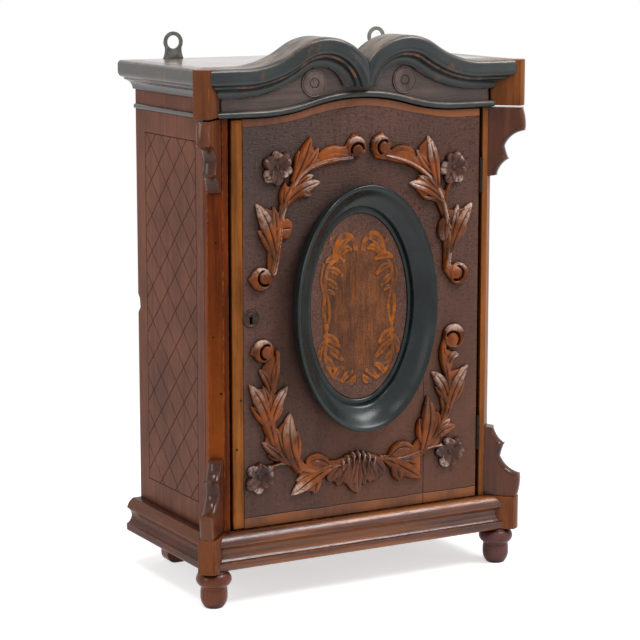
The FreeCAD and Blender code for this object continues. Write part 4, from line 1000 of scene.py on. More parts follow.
UPPER_LEFT_LOBES = [
    ((-14, 511, -33, 519, -53, 506), 7, 5.5, 0.0, True),
    ((-84, 485, -72, 505, -61, 533), 7.5, 7.6, 0.0),
    ((-82, 488, -78, 505, -76, 519), 4.8, 6.2, 0.0),
    ((-77, 491, -61, 503, -51, 521), 5.4, 6.4, 0.1),
    ((-97, 456, -80, 478, -48, 481), 7.0, 7.2, 0.9),
    ((-84, 470, -70, 474, -61, 465), 4.8, 6.2, 0.5),
    ((-82, 475, -73, 487, -57, 489), 4.2, 6.4, 0.7),
    ((-98, 455, -99, 470, -94, 484), 4.2, 6.0, 0.0),
    ((-108, 396, -112, 432, -132, 461), 8.0, 7.8, 0.7),
    ((-108, 408, -106, 435, -110, 457), 6.4, 7.2, 0.1),
    ((-113, 403, -119, 425, -130, 430), 5.4, 6.2, 0.1),
    ((-104, 430, -95, 431, -86, 430), 10.5, 6.5, 0.1, True),
]
UPPER_RIGHT_LOBES = [
    ((44, 508, 60, 518, 78, 504), 6, 5.5, 0.0, True),
    ((108, 468, 103, 500, 96, 528), 7.5, 7.6, 0.9),
    ((104, 482, 90, 496, 80, 512), 5.6, 6.4, 0.3),
    ((107, 480, 106, 500, 102, 518), 4.6, 6.2, 0.3),
    ((115, 450, 98, 470, 71, 473), 6.8, 7.2, 1.0),
    ((109, 455, 98, 458, 87, 457), 5.4, 6.2, 0.1),
    ((105, 464, 95, 478, 84, 481), 4.2, 6.4, 0.8),
    ((124, 430, 114, 420, 121, 402), 7.2, 6.5, 0.2, True),
    ((127, 390, 137, 420, 158, 445), 7.8, 7.8, 1.0),
    ((127, 398, 131, 422, 139, 444), 5.4, 7.0, 0.8),
    ((130, 396, 141, 408, 151, 419), 4.8, 6.2, 0.1),
]
LOWER_LEFT_LOBES = [
    ((-115, 240, -117, 258, -129, 270), 5.0, 6.2, 0.2),
    ((-113, 238, -109, 256, -107, 280), 5.6, 6.8, 0.0),
    ((-112, 182, -119, 225, -142, 253), 8.4, 7.8, 0.4),
    ((-116, 198, -126, 215, -140, 227), 5.4, 6.4, 0.0),
    ((-114, 203, -116, 230, -124, 250), 6.0, 7.0, 0.1),
    ((-117, 196, -112, 228, -91, 246), 6.8, 7.4, 0.9),
    ((-112, 206, -105, 220, -98, 222), 4.8, 6.2, 0.3),
    ((-78, 146, -98, 180, -88, 215), 9.6, 7.8, 0.5),
    ((-92, 156, -107, 178, -107, 200), 6.2, 6.8, 0.1),
    ((-82, 150, -79, 175, -80, 194), 5.6, 6.6, 0.1),
    ((-90, 154, -108, 170, -126, 184), 6.2, 7.0, 0.2),
    ((-98, 161, -108, 164, -119, 167), 4.4, 5.8, 0.0),
    ((-38, 147, -52, 162, -68, 150), 6.5, 6.0, 0.0, True),
    ((-36, 144, -60, 137, -87, 116), 7.8, 7.4, 1.0),
    ((-50, 139, -57, 130, -57, 114), 6.4, 6.6, 0.1),
    ((-55, 140, -68, 139, -81, 132), 4.4, 6.4, 0.5),
]
LOWER_RIGHT_LOBES = [
    ((123, 246, 130, 268, 142, 260), 5.0, 6.6, 0.9),
    ((125, 236, 120, 258, 118, 280), 5.4, 6.6, 0.0),
    ((127, 200, 122, 232, 103, 244), 7.2, 7.4, 0.8),
    ((125, 206, 116, 222, 108, 226), 4.8, 6.2, 0.1),
    ((124, 192, 132, 228, 155, 248), 7.8, 7.8, 0.8),
    ((127, 200, 141, 215, 150, 231), 5.2, 6.4, 0.1),
    ((90, 150, 105, 185, 97, 216), 9.4, 7.8, 0.1),
    ((91, 156, 88, 172, 87, 190), 5.8, 6.6, 0.0),
    ((98, 158, 114, 175, 112, 196), 6.2, 6.8, 0.0),
    ((103, 161, 120, 175, 138, 175), 6.6, 7.0, 0.2),
    ((108, 166, 119, 181, 131, 183), 4.8, 6.4, 0.8),
    ((46, 149, 60, 163, 77, 153), 6.5, 6.0, 0.1, True),
    ((38, 145, 62, 135, 90, 115), 8.2, 7.4, 0.0),
    ((50, 139, 56, 128, 60, 115), 6.6, 6.6, 0.0),
    ((60, 139, 76, 137, 87, 130), 4.8, 6.4, 0.1),
]
PALMETTE_LOBES = [
    ((-10, 150, -27, 146, -38, 127), 9.0, 6.4, 0.0, True),
    ((-10, 150, -22, 136, -26, 120), 7.0, 6.8, 0.0, True),
    ((11, 151, 27, 146, 37, 127), 9.0, 6.4, 0.0, True),
    ((11, 151, 22, 136, 26, 120), 7.0, 6.8, 0.0, True),
    ((0, 150, -6, 130, -8, 117), 6.0, 7.4, 0.0, True),
    ((2, 150, 8, 130, 10, 117), 6.0, 7.4, 0.0, True),
    ((1, 150, 0, 128, 1, 108), 6.4, 8.2, 0.1, True),
]
# Place at the crown, place at the foot and level of the foot.
PALMETTE_FOLDS = [
    (-21, -27, 124), (-14, -17, 121), (-6, -7, 119), (1, 0, 114), (8, 8, 119), (15, 17, 121),
    (22, 27, 125),
]
# Stems have points, half breadths, rise, groove and painted highlight. Scrolls have a place, radius and
# lean.
SPRAYS = {
    "upper_left": {
        "lift": 1,
        "stems": (
            (
                [(-8, 507), (-38, 505.5), (-60, 500), (-77, 489), (-90, 470), (-99, 448), (-104, 420),
                 (-107, 400), (-111, 382)],
                3.0, 5.2, 6.8, 1.2, 1.0,
            ),
            ([(-100, 440), (-102, 415), (-105, 398), (-111, 380)], 3.6, 4.2, 6.2),
        ),
        "lobes": UPPER_LEFT_LOBES,
        "scrolls": ((-2, 519, 13.5, -75), (-126, 374, 14, 20)),
    },
    "upper_right": {
        "lift": 1,
        "stems": (
            (
                [(38, 507), (60, 501), (80, 492), (97, 479), (110, 462), (117, 445), (122, 424),
                 (126, 405), (125, 388), (123, 372)],
                3.0, 5.2, 6.8, 1.2, 1.0,
            ),
            ([(121, 440), (121, 458), (127, 472)], 2.8, 2.4, 5.4),
        ),
        "lobes": UPPER_RIGHT_LOBES,
        "scrolls": ((31, 519, 13.5, -30), (140, 361, 14, 160)),
    },
    "lower_left": {
        "lift": 2,
        "stems": (
            (
                [(-106, 286), (-106, 268), (-110, 252), (-117, 232), (-119, 212), (-114, 190),
                 (-103, 170), (-88, 154), (-70, 145), (-50, 141.5), (-22, 146)],
                4.0, 3.8, 6.8, 1.2, 0.2,
            ),
            ([(-94, 155), (-102, 156.5), (-113, 154)], 2.6, 2.4, 5.4, 0, 0.9),
        ),
        "lobes": LOWER_LEFT_LOBES,
        "scrolls": ((-124, 290, 14, -20),),
    },
    "lower_right": {
        "lift": 2,
        "stems": (
            (
                [(120, 262), (126, 243), (128, 222), (124, 200), (118, 182), (106, 165), (88, 150),
                 (68, 144), (48, 143.5), (26, 147)],
                4.0, 3.8, 6.8, 1.2, 0.2,
            ),
            ([(88, 148), (100, 152), (118, 153)], 3.0, 2.4, 5.6, 0, 0.9),
        ),
        "lobes": LOWER_RIGHT_LOBES,
        "scrolls": ((134, 285, 15.5, 230),),
    },
}
PALMETTE_LIFT = 2
PALMETTE_CROWN, PALMETTE_MIDDLE = 156, 138
# Place, radius and lift.
FLOWERS = [(-104, 500, 20.5, 1.0), (133, 488, 20, 1.0), (-128, 142, 19.5, 2.0), (131, 143, 20, 2.0)]
PETALS = 6
PETAL_RISE = 9.4
# Painted highlight towards the tip of each petal, in turn.
PETAL_HIGHLIGHTS = (0.9, 0.1, 0.4, 0.0, 0.6, 0.1)
# Finishes have the colour of their own name and are rubbed to the bare wood, unless they say others.
WOODS = {
    "side": dict(contrast=0.7, gloss=0.4, shine=0.05, wear=0.4),
    "post": dict(contrast=1.4, gloss=0.3, shine=0.04, holes=0.9, foot=0.7),
    "right_post": dict(shine=0.06, amber=0.4),
    "strip": dict(rubbed="strip", contrast=1.3, shine=0.08, holes=0.9),
    "cornice_block": dict(contrast=0.8, gloss=0.3, shine=0.08, amber=0.35),
    "right_block": dict(contrast=0.8, gloss=0.3, shine=0.08, amber=0.55),
    "base_block": dict(contrast=0.8, gloss=0.3, shine=0.08, amber=0.45),
    "bracket": dict(contrast=0.6, gloss=0.18, shine=0.2, wear=0.5, amber=0.3),
    "base": dict(
        grain="X", contrast=1.2, gloss=0.22, shine=0.3, wear=0.9, reach=0.016, amber=0.95, quirk_shade=0.85
    ),
    "side_base": dict(
        shade="base", grain="Y", contrast=0.5, gloss=0.26, shine=0.08, wear=0.7, reach=0.016,
        amber=0.3, quirk_shade=0.7,
    ),
    "foot": dict(contrast=0.2, gloss=0.22, shine=0.14, wear=0.4, amber=0.3),
    # Painted shade on the right front foot.
    "right_foot": dict(contrast=0.2, gloss=0.26, shine=0.1, wear=0.2),
    "frieze": dict(grain="X", contrast=0.8, gloss=0.42, shine=0.3, wear=0.4, stipple=1.6),
    "top": dict(shade="base", grain="X", gloss=0.2, shine=1.0),
    "inside": dict(rubbed="inside", grain="X", contrast=1.2, gloss=0.6, shine=0.1),
    "back": dict(shade="inside", rubbed="inside", contrast=1.3, gloss=0.65, shine=0.1),
}
BLACK_WOODS = {
    "black": dict(gloss=0.36, wear=0.8, shine=0.42, coat=0.1),
    "side_black": dict(gloss=0.34, wear=0.6, shine=0.42, coat=0.4),
    "oval": dict(rubbed="oval", gloss=0.3, wear=0.0, shine=0.3, coat=0.05),
}
# Rust and roughness.
METALS = {
    "iron": ((60, 42, 32), 0.5),
    "steel": ((80, 58, 44), 0.4),
    "brass": ((50, 42, 34), 0.4),
    "bronze": ((44, 34, 30), 0.5),
}


class MakeFinishes(bpy.types.Operator):
    """Mixes the cabinet's finishes"""

    bl_idname = "cabinet.finishes"
    bl_label = "Finishes"

    def execute(self, context):
        colours = context.scene.cabinet_colours
        tone = {name: tuple(getattr(colours, name)) for name in CabinetColours.__annotations__}
        tips = tone["tips"]
        for make, table in ((wood, WOODS), (black_wood, BLACK_WOODS)):
            for name, given in table.items():
                values = {"shade": name, "rubbed": "rubbed", **given}
                values.update({key: tone[values[key]] for key in ("shade", "rubbed")})
                make(name + "_finish", **values)
        door_wood("door_finish", tone["ground"], tone["band"], tone["rubbed"])
        carved_wood("carved_finish", tone["carved"], tips, gloss=0.28, shine=0.15, lively=0.75)
        carved_wood("palmette_finish", tone["palmette"], tips, gloss=0.28, shine=0.15, lively=0.2)
        carved_wood("flower_finish", tone["flower"], tips, gloss=0.24, shine=0.18)
        carved_wood("rosette_finish", tinted(tone["frieze"], 1.35), tips, gloss=0.4, shine=0.25)
        medallion_wood("medallion_finish", tone["medallion"], tone["wreath"])
        for name, (rust, gloss) in METALS.items():
            metal(name + "_finish", tone[name], stain(*rust), gloss)
        return {"FINISHED"}


PHOTO_LENS = 126.82  # millimetres, on a sensor of 36
PHOTO_PLACE = (-1.31043, -2.32242, 0.76967)
PHOTO_WAY = Vector((0.48293, 0.85860, -0.17201))
LIT_SPOT = Vector((0, 0, 0.34))
# Name, place, width, height and watts.
LAMPS = (
    ("overhead", (0.95, -1.0, 1.95), 1.3, 0.6, 36),
    ("top_window", (-0.9, -0.45, 2.3), 0.45, 0.45, 12),
    ("left_window", (-2.2, -0.35, 1.2), 0.7, 1.2, 13),
    ("right_fill", (1.8, -1.8, 0.9), 1.0, 1.2, 5),
)
FLOOR_HALF = 9
WHITE = (1, 1, 1)


def rectangle(low, high, out=0.0):
    """Corners of a rectangle, moved outwards."""
    left, right = low[0] - out, high[0] + out
    bottom, top = low[1] - out, high[1] + out
    return [(left, bottom), (right, bottom), (right, top), (left, top)]


def aimed(piece, place, way):
    """Puts a camera or a lamp in its place, looking along a way."""
    piece.location = place
    piece.rotation_euler = way.to_track_quat("-Z", "Y").to_euler()
    return piece


class MakeStage(bpy.types.Operator):
    """Sets the camera, the floor and the soft light"""

    bl_idname = "cabinet.stage"
    bl_label = "Stage"

    def execute(self, context):
        scene = context.scene
        view = bpy.data.cameras.new("photo_camera")
        view.sensor_width = 36
        view.lens = PHOTO_LENS
        view.clip_end = 30
        scene.camera = aimed(piece_of("photo_camera", view), PHOTO_PLACE, PHOTO_WAY)
        scene.view_settings.view_transform = "Standard"

        paint = new_paint("floor_finish")
        cloth = paint.node("ShaderNodeBsdfDiffuse", None, {"Color": (0.8, 0.8, 0.8)})
        glow = paint.node("ShaderNodeEmission", None, {"Color": WHITE, "Strength": 0.6})
        lit = paint.node("ShaderNodeAddShader", None, {0: cloth, 1: glow})
        white = paint.node("ShaderNodeEmission", None, {"Color": WHITE, "Strength": 1.0})
        away = paint.node("ShaderNodeVectorMath", {"operation": "LENGTH"}, {0: paint.place()}, "Value")
        ground = paint.node("ShaderNodeMixShader", None, {0: away.between(0.5, 1.3), 1: lit, 2: white})
        both = paint.node("ShaderNodeMixShader", None, {0: paint.seen(), 1: cloth, 2: ground})
        paint.node("ShaderNodeOutputMaterial", None, {"Surface": both})
        mesh = bpy.data.meshes.new("floor")
        corners = rectangle((-FLOOR_HALF, -FLOOR_HALF), (FLOOR_HALF, FLOOR_HALF))
        mesh.from_pydata([(*corner, 0) for corner in corners], [], [(0, 1, 2, 3)])
        mesh.materials.append(paint.owner)
        piece_of("floor", mesh)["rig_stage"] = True

        scene.world = bpy.data.worlds.new("studio")
        paint = Paint(scene.world)
        soft = paint.node("ShaderNodeBackground", None, {"Color": WHITE, "Strength": 0.37})
        white = paint.node("ShaderNodeBackground", None, {"Color": WHITE, "Strength": 1.0})
        both = paint.node("ShaderNodeMixShader", None, {0: paint.seen(), 1: soft, 2: white})
        paint.node("ShaderNodeOutputWorld", None, {"Surface": both})

        for name, place, wide, high, watts in LAMPS:
            lamp = bpy.data.lights.new(name, "AREA")
            lamp.shape = "RECTANGLE"
            lamp.size = wide
            lamp.size_y = high
            lamp.energy = watts
            aimed(piece_of(name, lamp), place, LIT_SPOT - Vector(place))
        return {"FINISHED"}


# Frame and one crossing of the lattice, from the back edge forward and from the floor up.
LATTICE_FRONT, LATTICE_BACK = 0.159, 0.0255
LATTICE_BOTTOM, LATTICE_TOP = 0.113, 0.531
LATTICE_CROSSING = (0.041, 0.350)
LATTICE_CELLS = range(-14, 15)
ON_LINE = 1e-7  # spots nearer to a line than this lie on it


class MakeSidePanels(bpy.types.Operator):
    """Side panels with a scribed lattice of diamonds"""

    bl_idname = "cabinet.side_panels"
    bl_label = "Side panels"

    def execute(self, context):
        sizes = context.scene.cabinet_sizes
        for node, outward in (("left_side_panel", -1), ("right_side_panel", 1)):
            self.panel(node, outward, sizes)
        return {"FINISHED"}

    def panel(self, node, outward, sizes):
        """Outer face cut into diamonds, with the worn back edge of the CAD panel."""
        low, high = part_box(node)
        outer = low.x if outward < 0 else high.x
        inner = high.x if outward < 0 else low.x
        deep = sizes.groove_depth
        half = sizes.groove_width / 2
        frame_low = (high.y - LATTICE_FRONT, LATTICE_BOTTOM)
        frame_high = (high.y - LATTICE_BACK, LATTICE_TOP)
        middle_y, middle_z = high.y - LATTICE_CROSSING[0], LATTICE_CROSSING[1]
        form = bmesh.new()
        groove = form.faces.layers.float.new("groove")

        def point(spot, down=0.0):
            return form.verts.new((outer - outward * down, spot[0], spot[1]))

        def rear(spot):
            return form.verts.new((inner, *spot))

        def face(spots, marked=0.0):
            form.faces.new(spots)[groove] = marked

        rim_points = []
        for i in LATTICE_CELLS:
            for j in LATTICE_CELLS:
                cell = []
                for u, v in ((i, j), (i + 1, j), (i + 1, j + 1), (i, j + 1)):
                    y = middle_y + (u + v) * sizes.lattice_step
                    cell.append((y, middle_z + (u - v) * sizes.lattice_rise))
                cell = clipped(cell, frame_low, frame_high)
                if len(cell) < 3:
                    continue
                rim_points += cell
                small = shrunk(cell, half)
                bottoms = [point(spot, deep) for spot in cell]
                if not small:
                    face(bottoms, 1.0)
                    continue
                tops = [point(spot) for spot in small]
                face(tops)
                for k in range(len(cell)):
                    m = (k + 1) % len(cell)
                    face((bottoms[k], bottoms[m], tops[m], tops[k]), 1.0)
        corners = rectangle(frame_low, frame_high)
        wider = rectangle(frame_low, frame_high, half)
        ends = rectangle((low.y, low.z), (high.y, high.z))
        outer_loop = max(face_loops(node, Vector((outward, 0, 0))), key=len)
        worn = [(spot.y, spot.z) for spot in outer_loop if low.z + MM < spot.z < high.z - MM]
        worn.sort(key=lambda spot: spot[1])
        rear_loop = []
        for k in range(4):
            m = (k + 1) % 4
            start, stop = Vector(corners[k]), Vector(corners[m])
            way = (stop - start).normalized()
            side = {}
            for spot in rim_points + [corners[k], corners[m]]:
                gap = Vector(spot) - start
                if abs(gap.cross(way)) < ON_LINE:
                    side[round(gap.dot(way), 6)] = spot
            lows = [point(side[run], deep) for run in sorted(side, reverse=True)]
            face([point(wider[k]), point(wider[m])] + lows, 1.0)
            edge = [ends[k], *(worn if k == 1 else []), ends[m]]
            face([point(spot) for spot in edge] + [point(wider[m]), point(wider[k])])
            for a, b in zip(edge, edge[1:]):
                face([rear(a), rear(b), point(b), point(a)])
            rear_loop += edge[:-1]
        face([rear(spot) for spot in rear_loop])
        bmesh.ops.remove_doubles(form, verts=form.verts, dist=WELD)
        bmesh.ops.recalc_face_normals(form, faces=form.faces)
        stand_in(formed(node + "_lattice", form, "side_finish"), node)


EDGE = 1e-9  # spots nearer to a limit than this count as outside
LEAST_AREA = 2e-6  # diamonds smaller than this are all groove


def clipped(cell, low, high):
    """Part of a cell inside a rectangle."""
    for axis, limit, sign in ((0, low[0], 1), (0, high[0], -1), (1, low[1], 1), (1, high[1], -1)):
        kept = []
        for k, spot in enumerate(cell):
            before = cell[k - 1]
            inside = (spot[axis] - limit) * sign
            was = (before[axis] - limit) * sign
            if (inside > EDGE) != (was > EDGE) and abs(inside - was) > 1e-12:
                share = was / (was - inside)
                kept.append(tuple(b + (s - b) * share for b, s in zip(before, spot)))
            if inside > EDGE:
                kept.append(spot)
        cell = kept
        if len(cell) < 3:
            return []
    return cell


def area_of(cell):
    return sum(a[0] * b[1] - b[0] * a[1] for a, b in zip(cell, cell[1:] + cell[:1])) / 2


def shrunk(cell, inset):
    """Cell drawn in by an inset, or nothing where it is too small."""
    count = len(cell)
    turn = 1 if area_of(cell) > 0 else -1
    lines = []
    for a, b in zip(cell, cell[1:] + cell[:1]):
        way = Vector((b[0] - a[0], b[1] - a[1]))
        if way.length < 1e-6:
            return []
        way.normalize()
        normal = Vector((-way.y, way.x)) * turn
        lines.append((Vector(a) + normal * inset, way))
    moved = []
    for k in range(count):
        (p, d), (q, e) = lines[k - 1], lines[k]
        cross = d.cross(e)
        if abs(cross) < 1e-6:
            return []
        moved.append(tuple(p + d * ((q - p).cross(e) / cross)))
    for k in range(count):
        old = Vector(cell[(k + 1) % count]) - Vector(cell[k])
        new = Vector(moved[(k + 1) % count]) - Vector(moved[k])
        if old.dot(new) <= 0:
            return []
    return moved if area_of(moved) * turn > LEAST_AREA else []


UPWARD = 0.3  # faces of the frieze that look up more than this are black
ROSETTE_NET = 0.45


class MakeCase(bpy.types.Operator):
    """Posts, frieze, cornice, base, blocks, brackets and feet"""

    bl_idname = "cabinet.case"
    bl_label = "Case woodwork"

    def execute(self, context):
        sizes = context.scene.cabinet_sizes
        rounding = sizes.rounding
        for finish, nodes in (
            ("post_finish", ("left_post",)),
            ("right_post_finish", ("right_post",)),
            ("base_finish", ("front_base_rail",)),
            ("foot_finish", ("left_front_foot", "rear_feet")),
            ("right_foot_finish", ("right_front_foot",)),
            ("side_black_finish", ("left_cornice", "right_cornice", "side_beads")),
            ("black_finish", ("front_bead",)),
            ("top_finish", ("top_board",)),
            ("back_finish", ("back_boards", "rear_base_rail")),
        ):
            for node in nodes:
                softened(node, finish, rounding)
        for finish, node in (
            ("base_finish", "front_base_moulding"),
            ("side_base_finish", "left_base_moulding"),
            ("side_base_finish", "right_base_moulding"),
        ):
            softened(node, finish, rounding * 0.4, crease=24)
        for node in ("front_cornice_left", "front_cornice_right"):
            softened(node, "black_finish", rounding, seam=0.0)
        for hand in ("left", "right"):
            finish = "cornice_block_finish" if hand == "left" else "right_block_finish"
            softened(f"{hand}_cornice_block", finish, rounding, sizes.block_rounding)
            softened(f"{hand}_base_block", "base_block_finish", rounding, sizes.block_rounding)
            for kind in ("upper", "lower"):
                nosed(f"{hand}_{kind}_bracket", "bracket_finish", sizes.nose)
        board = softened("frieze_board", "frieze_finish", rounding).data
        board.materials.append(bpy.data.materials["black_finish"])
        for face in board.polygons:
            face.material_index = int(face.normal.z > UPWARD)
        self.rosettes()
        return {"FINISHED"}

    def rosettes(self):
        low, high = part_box("frieze_rosettes")
        z = (low.z + high.z) / 2 / MM
        radius = (high.z - low.z) / 2 / MM
        discs = []
        for name, x in (("left", low.x / MM + radius), ("right", high.x / MM - radius)):
            relief = relief_round(x, z, radius, 1, ROSETTE_NET)
            gap = np.hypot(relief.x - x, relief.z - z)
            turn = np.arctan2(relief.z - z, relief.x - x)
            rise = 1.5 - 0.9 * ridge(gap, 0.88 * radius, 0.45) + 0.7 * ridge(gap, 0.42 * radius, 0.7)
            rise = rise - 0.9 * ridge(gap, 0.33 * radius, 0.5)
            rise = rise + 0.8 * np.abs(np.cos(3 * turn)) * ridge(gap, 3.2, 1.3)
            rise = rise + 0.9 * ridge(gap, 0, 1.2)
            relief.add(EVERYWHERE, np.minimum(rise, (radius - gap) * STEEP))
            discs.append(relief.piece(name + "_rosette", "rosette_finish"))
        stand_in(discs[0], "frieze_rosettes")
        beside(discs[1], "frieze_rosettes")


class MakeInside(bpy.types.Operator):
    """Bottom, shelf, cleats, door stop and battens"""

    bl_idname = "cabinet.inside"
    bl_label = "Inside"

    def execute(self, context):
        rounding = context.scene.cabinet_sizes.rounding
        for node in ("bottom_board", "shelf", "shelf_cleats", "door_stop", "door_battens"):
            softened(node, "inside_finish", rounding)
        return {"FINISHED"}


IRON_NODES = (
    "hanger_screws", "case_screws", "door_screws", "post_hinge_leaves", "door_hinge_leaves",
)
BRASS_NODES = ("hinge_pins", "lock_case", "lock_cover", "lock_bolt", "strike_plate")
ESCUTCHEON_NET = 0.35
# Keyhole in millimetres: radius of its bow, half width and half height of its slot, shift of each.
BOW_RADIUS = 2.6
SLOT_HALVES = (1.5, 4)
KEYHOLE_SHIFT = 2


class MakeHardware(bpy.types.Operator):
    """Hangers, hinges, screws and the lock"""

    bl_idname = "cabinet.hardware"
    bl_label = "Hardware"

    def execute(self, context):
        for node in ("left_hanger", "right_hanger"):
            softened(node, "steel_finish", 0.3 * MM)
        for node in IRON_NODES:
            paint_node(node, "iron_finish")
        for node in BRASS_NODES:
            paint_node(node, "brass_finish")
        low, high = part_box("escutcheon")
        x, z = (low.x + high.x) / 2 / MM, (low.z + high.z) / 2 / MM
        radius = (high.x - low.x) / 2 / MM
        relief = relief_round(x, z, radius, 1, ESCUTCHEON_NET)
        gap = np.hypot(relief.x - x, relief.z - z)
        rise = 0.7 + 0.9 * ridge(gap, 0.86 * radius, 1.0) + 0.7 * ridge(gap, 0.52 * radius, 0.8)
        bow = np.hypot(relief.x - x, relief.z - z - KEYHOLE_SHIFT) - BOW_RADIUS
        beside_slot = np.abs(relief.x - x) - SLOT_HALVES[0]
        slot = np.maximum(beside_slot, np.abs(relief.z - z + KEYHOLE_SHIFT) - SLOT_HALVES[1])
        inside = np.minimum(radius - gap, np.minimum(bow, slot))
        relief.add(EVERYWHERE, np.minimum(rise, inside * STEEP))
        stand_in(relief.piece("escutcheon_rings", "bronze_finish"), "escutcheon")
        return {"FINISHED"}


class MakeDoor(bpy.types.Operator):
    """Boards of the door"""

    bl_idname = "cabinet.door"
    bl_label = "Door boards"

    def execute(self, context):
        rounding = context.scene.cabinet_sizes.rounding
        softened("door_edge_strip", "strip_finish", rounding * 2)
        for node in ("door_left_board", "door_right_board"):
            softened(node, "door_finish", rounding * 0.6, seam=DOOR_JOINT)
        return {"FINISHED"}


# Section of the oval frame: share of its breadth from the opening outwards, and rise.
OVAL_OUTLINE = [
    (0.0, 0.0), (0.0, 1.4), (0.02, 2.2), (0.05, 2.7), (0.09, 2.9), (0.13, 2.6), (0.165, 1.9),
    (0.2, 1.9), (0.21, 4.6), (0.24, 6.2), (0.31, 7.4), (0.4, 9.0), (0.5, 11.2), (0.6, 14.0),
    (0.7, 17.6), (0.78, 20.9), (0.85, 23.4), (0.9, 24.5), (0.95, 24.6), (0.985, 23.7), (1.0, 22.0),
    (0.99, 20.0), (0.955, 16.5), (0.9, 11.0), (0.84, 5.0), (0.8, 0.0),
]
OVAL_STEPS = 160


class MakeOval(bpy.types.Operator):
    """Moulded oval frame"""

    bl_idname = "cabinet.oval_frame"
    bl_label = "Oval frame"

    def execute(self, context):
        sizes = context.scene.cabinet_sizes
        low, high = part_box("oval_frame")
        middle = (low + high) / 2
        wide = (sizes.oval_inner_width, sizes.oval_outer_width)
        tall = (sizes.oval_inner_height, sizes.oval_outer_height)
        form = bmesh.new()
        rings = []
        for k in range(OVAL_STEPS):
            angle = 2 * math.pi * k / OVAL_STEPS
            ring = []
            for out, rise in OVAL_OUTLINE:
                x = middle.x + (wide[0] + (wide[1] - wide[0]) * out) * math.cos(angle)
                z = middle.z + (tall[0] + (tall[1] - tall[0]) * out) * math.sin(angle)
                ring.append(form.verts.new((x, DOOR_FACE - rise * MM, z)))
            rings.append(ring)
        for k, ring in enumerate(rings):
            after = rings[(k + 1) % OVAL_STEPS]
            for n in range(len(ring)):
                m = (n + 1) % len(ring)
                form.faces.new((ring[n], ring[m], after[m], after[n])).smooth = True
        bmesh.ops.recalc_face_normals(form, faces=form.faces)
        stand_in(formed("oval_moulding", form, "oval_finish", 40), "oval_frame")
        return {"FINISHED"}


# Right half of the wreath: lines and half breadths, then bases, bends, tips and half breadths.
WREATH_STEMS = [
    (
        [(30, 392), (40, 384), (45, 370), (46, 350), (48, 332), (45, 312), (44, 296), (46, 280),
         (42, 264)],
        2.7,
    ),
    ([(44, 352), (40, 335), (41, 318), (46, 300)], 2.0),
    ([(48, 386), (51, 368), (48, 350)], 1.7),
    ([(34, 390), (32, 405), (25, 416), (16, 418), (8, 412), (5, 401)], 3.4),
    ([(42, 264), (34, 252), (22, 246)], 2.4),
]
WREATH_LEAVES = [
    ((30, 397, 25, 411, 14, 413), 4.6),
    ((26, 396, 19, 405, 12, 401), 4.4),
    ((33, 404, 39, 408, 38, 416), 3.0),
    ((44, 389, 34, 395, 22, 388), 4.8),
    ((44, 379, 34, 381, 24, 371), 5.0),
    ((44, 368, 38, 364, 30, 357), 4.2),
    ((45, 352, 40, 356, 34, 350), 3.2),
    ((46, 302, 38, 300, 28, 289), 5.2),
    ((45, 290, 36, 285, 24, 273), 5.8),
    ((46, 278, 42, 270, 34, 263), 5.0),
    ((47, 296, 54, 288, 53, 275), 4.0),
    ((34, 252, 30, 262, 22, 262), 4.4),
    ((24, 246, 18, 254, 10, 256), 4.8),
    ((16, 243, 9, 243, 6, 250), 4.2),
]
PANEL_CLEARANCE = 0.2
PANEL_MARGIN = 2
STEM_RISE, LEAF_RISE, TIP_RISE = 1.5, 1.9, 2.0


class MakeMedallion(bpy.types.Operator):
    """Oval panel with a wreath in low relief"""

    bl_idname = "cabinet.medallion"
    bl_label = "Medallion"

    def execute(self, context):
        sizes = context.scene.cabinet_sizes
        low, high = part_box("oval_panel")
        middle_z = (low.z + high.z) / 2 / MM
        half_x = sizes.oval_inner_width / MM - PANEL_CLEARANCE
        half_z = sizes.oval_inner_height / MM - PANEL_CLEARANCE
        left, right = -half_x - PANEL_MARGIN, half_x + PANEL_MARGIN
        bottom, top = middle_z - half_z - PANEL_MARGIN, middle_z + half_z + PANEL_MARGIN
        relief = Relief(left, right, bottom, top, sizes.net / MM)
        for side in (-1, 1):
            for line, half in WREATH_STEMS:
                relief.stem([(side * x, z) for x, z in line], half, half, STEM_RISE)
            for number, (ends, half) in enumerate(WREATH_LEAVES):
                base, bend, tip = [(side * ends[k], ends[k + 1]) for k in (0, 2, 4)]
                breadth = half * (0.9 + 0.2 * (number % 2))
                relief.lobe(base, bend, tip, breadth, LEAF_RISE, blunt=True, vein=1.0, dip=0.3)
                relief.ball(*tip, half * 0.6, TIP_RISE)
        wreath = np.clip(relief.rise, 0, None)
        wear = np.sin(0.31 * relief.x + 0.17 * relief.z)
        wear = wear * np.sin(0.23 * relief.z - 0.11 * relief.x + 1)
        wreath = wreath * (0.75 + 0.35 * wear)
        gap = np.hypot(relief.x / half_x, (relief.z - middle_z) / half_z)
        rim = (1 - gap) * min(half_x, half_z)
        relief.pale = np.clip((wreath - 0.1) / 1.1, 0, 1)
        relief.rise = np.minimum(0.6 + wreath * 0.7, rim * 4)
        stand_in(relief.piece("wreath_panel", "medallion_finish"), "oval_panel")
        return {"FINISHED"}


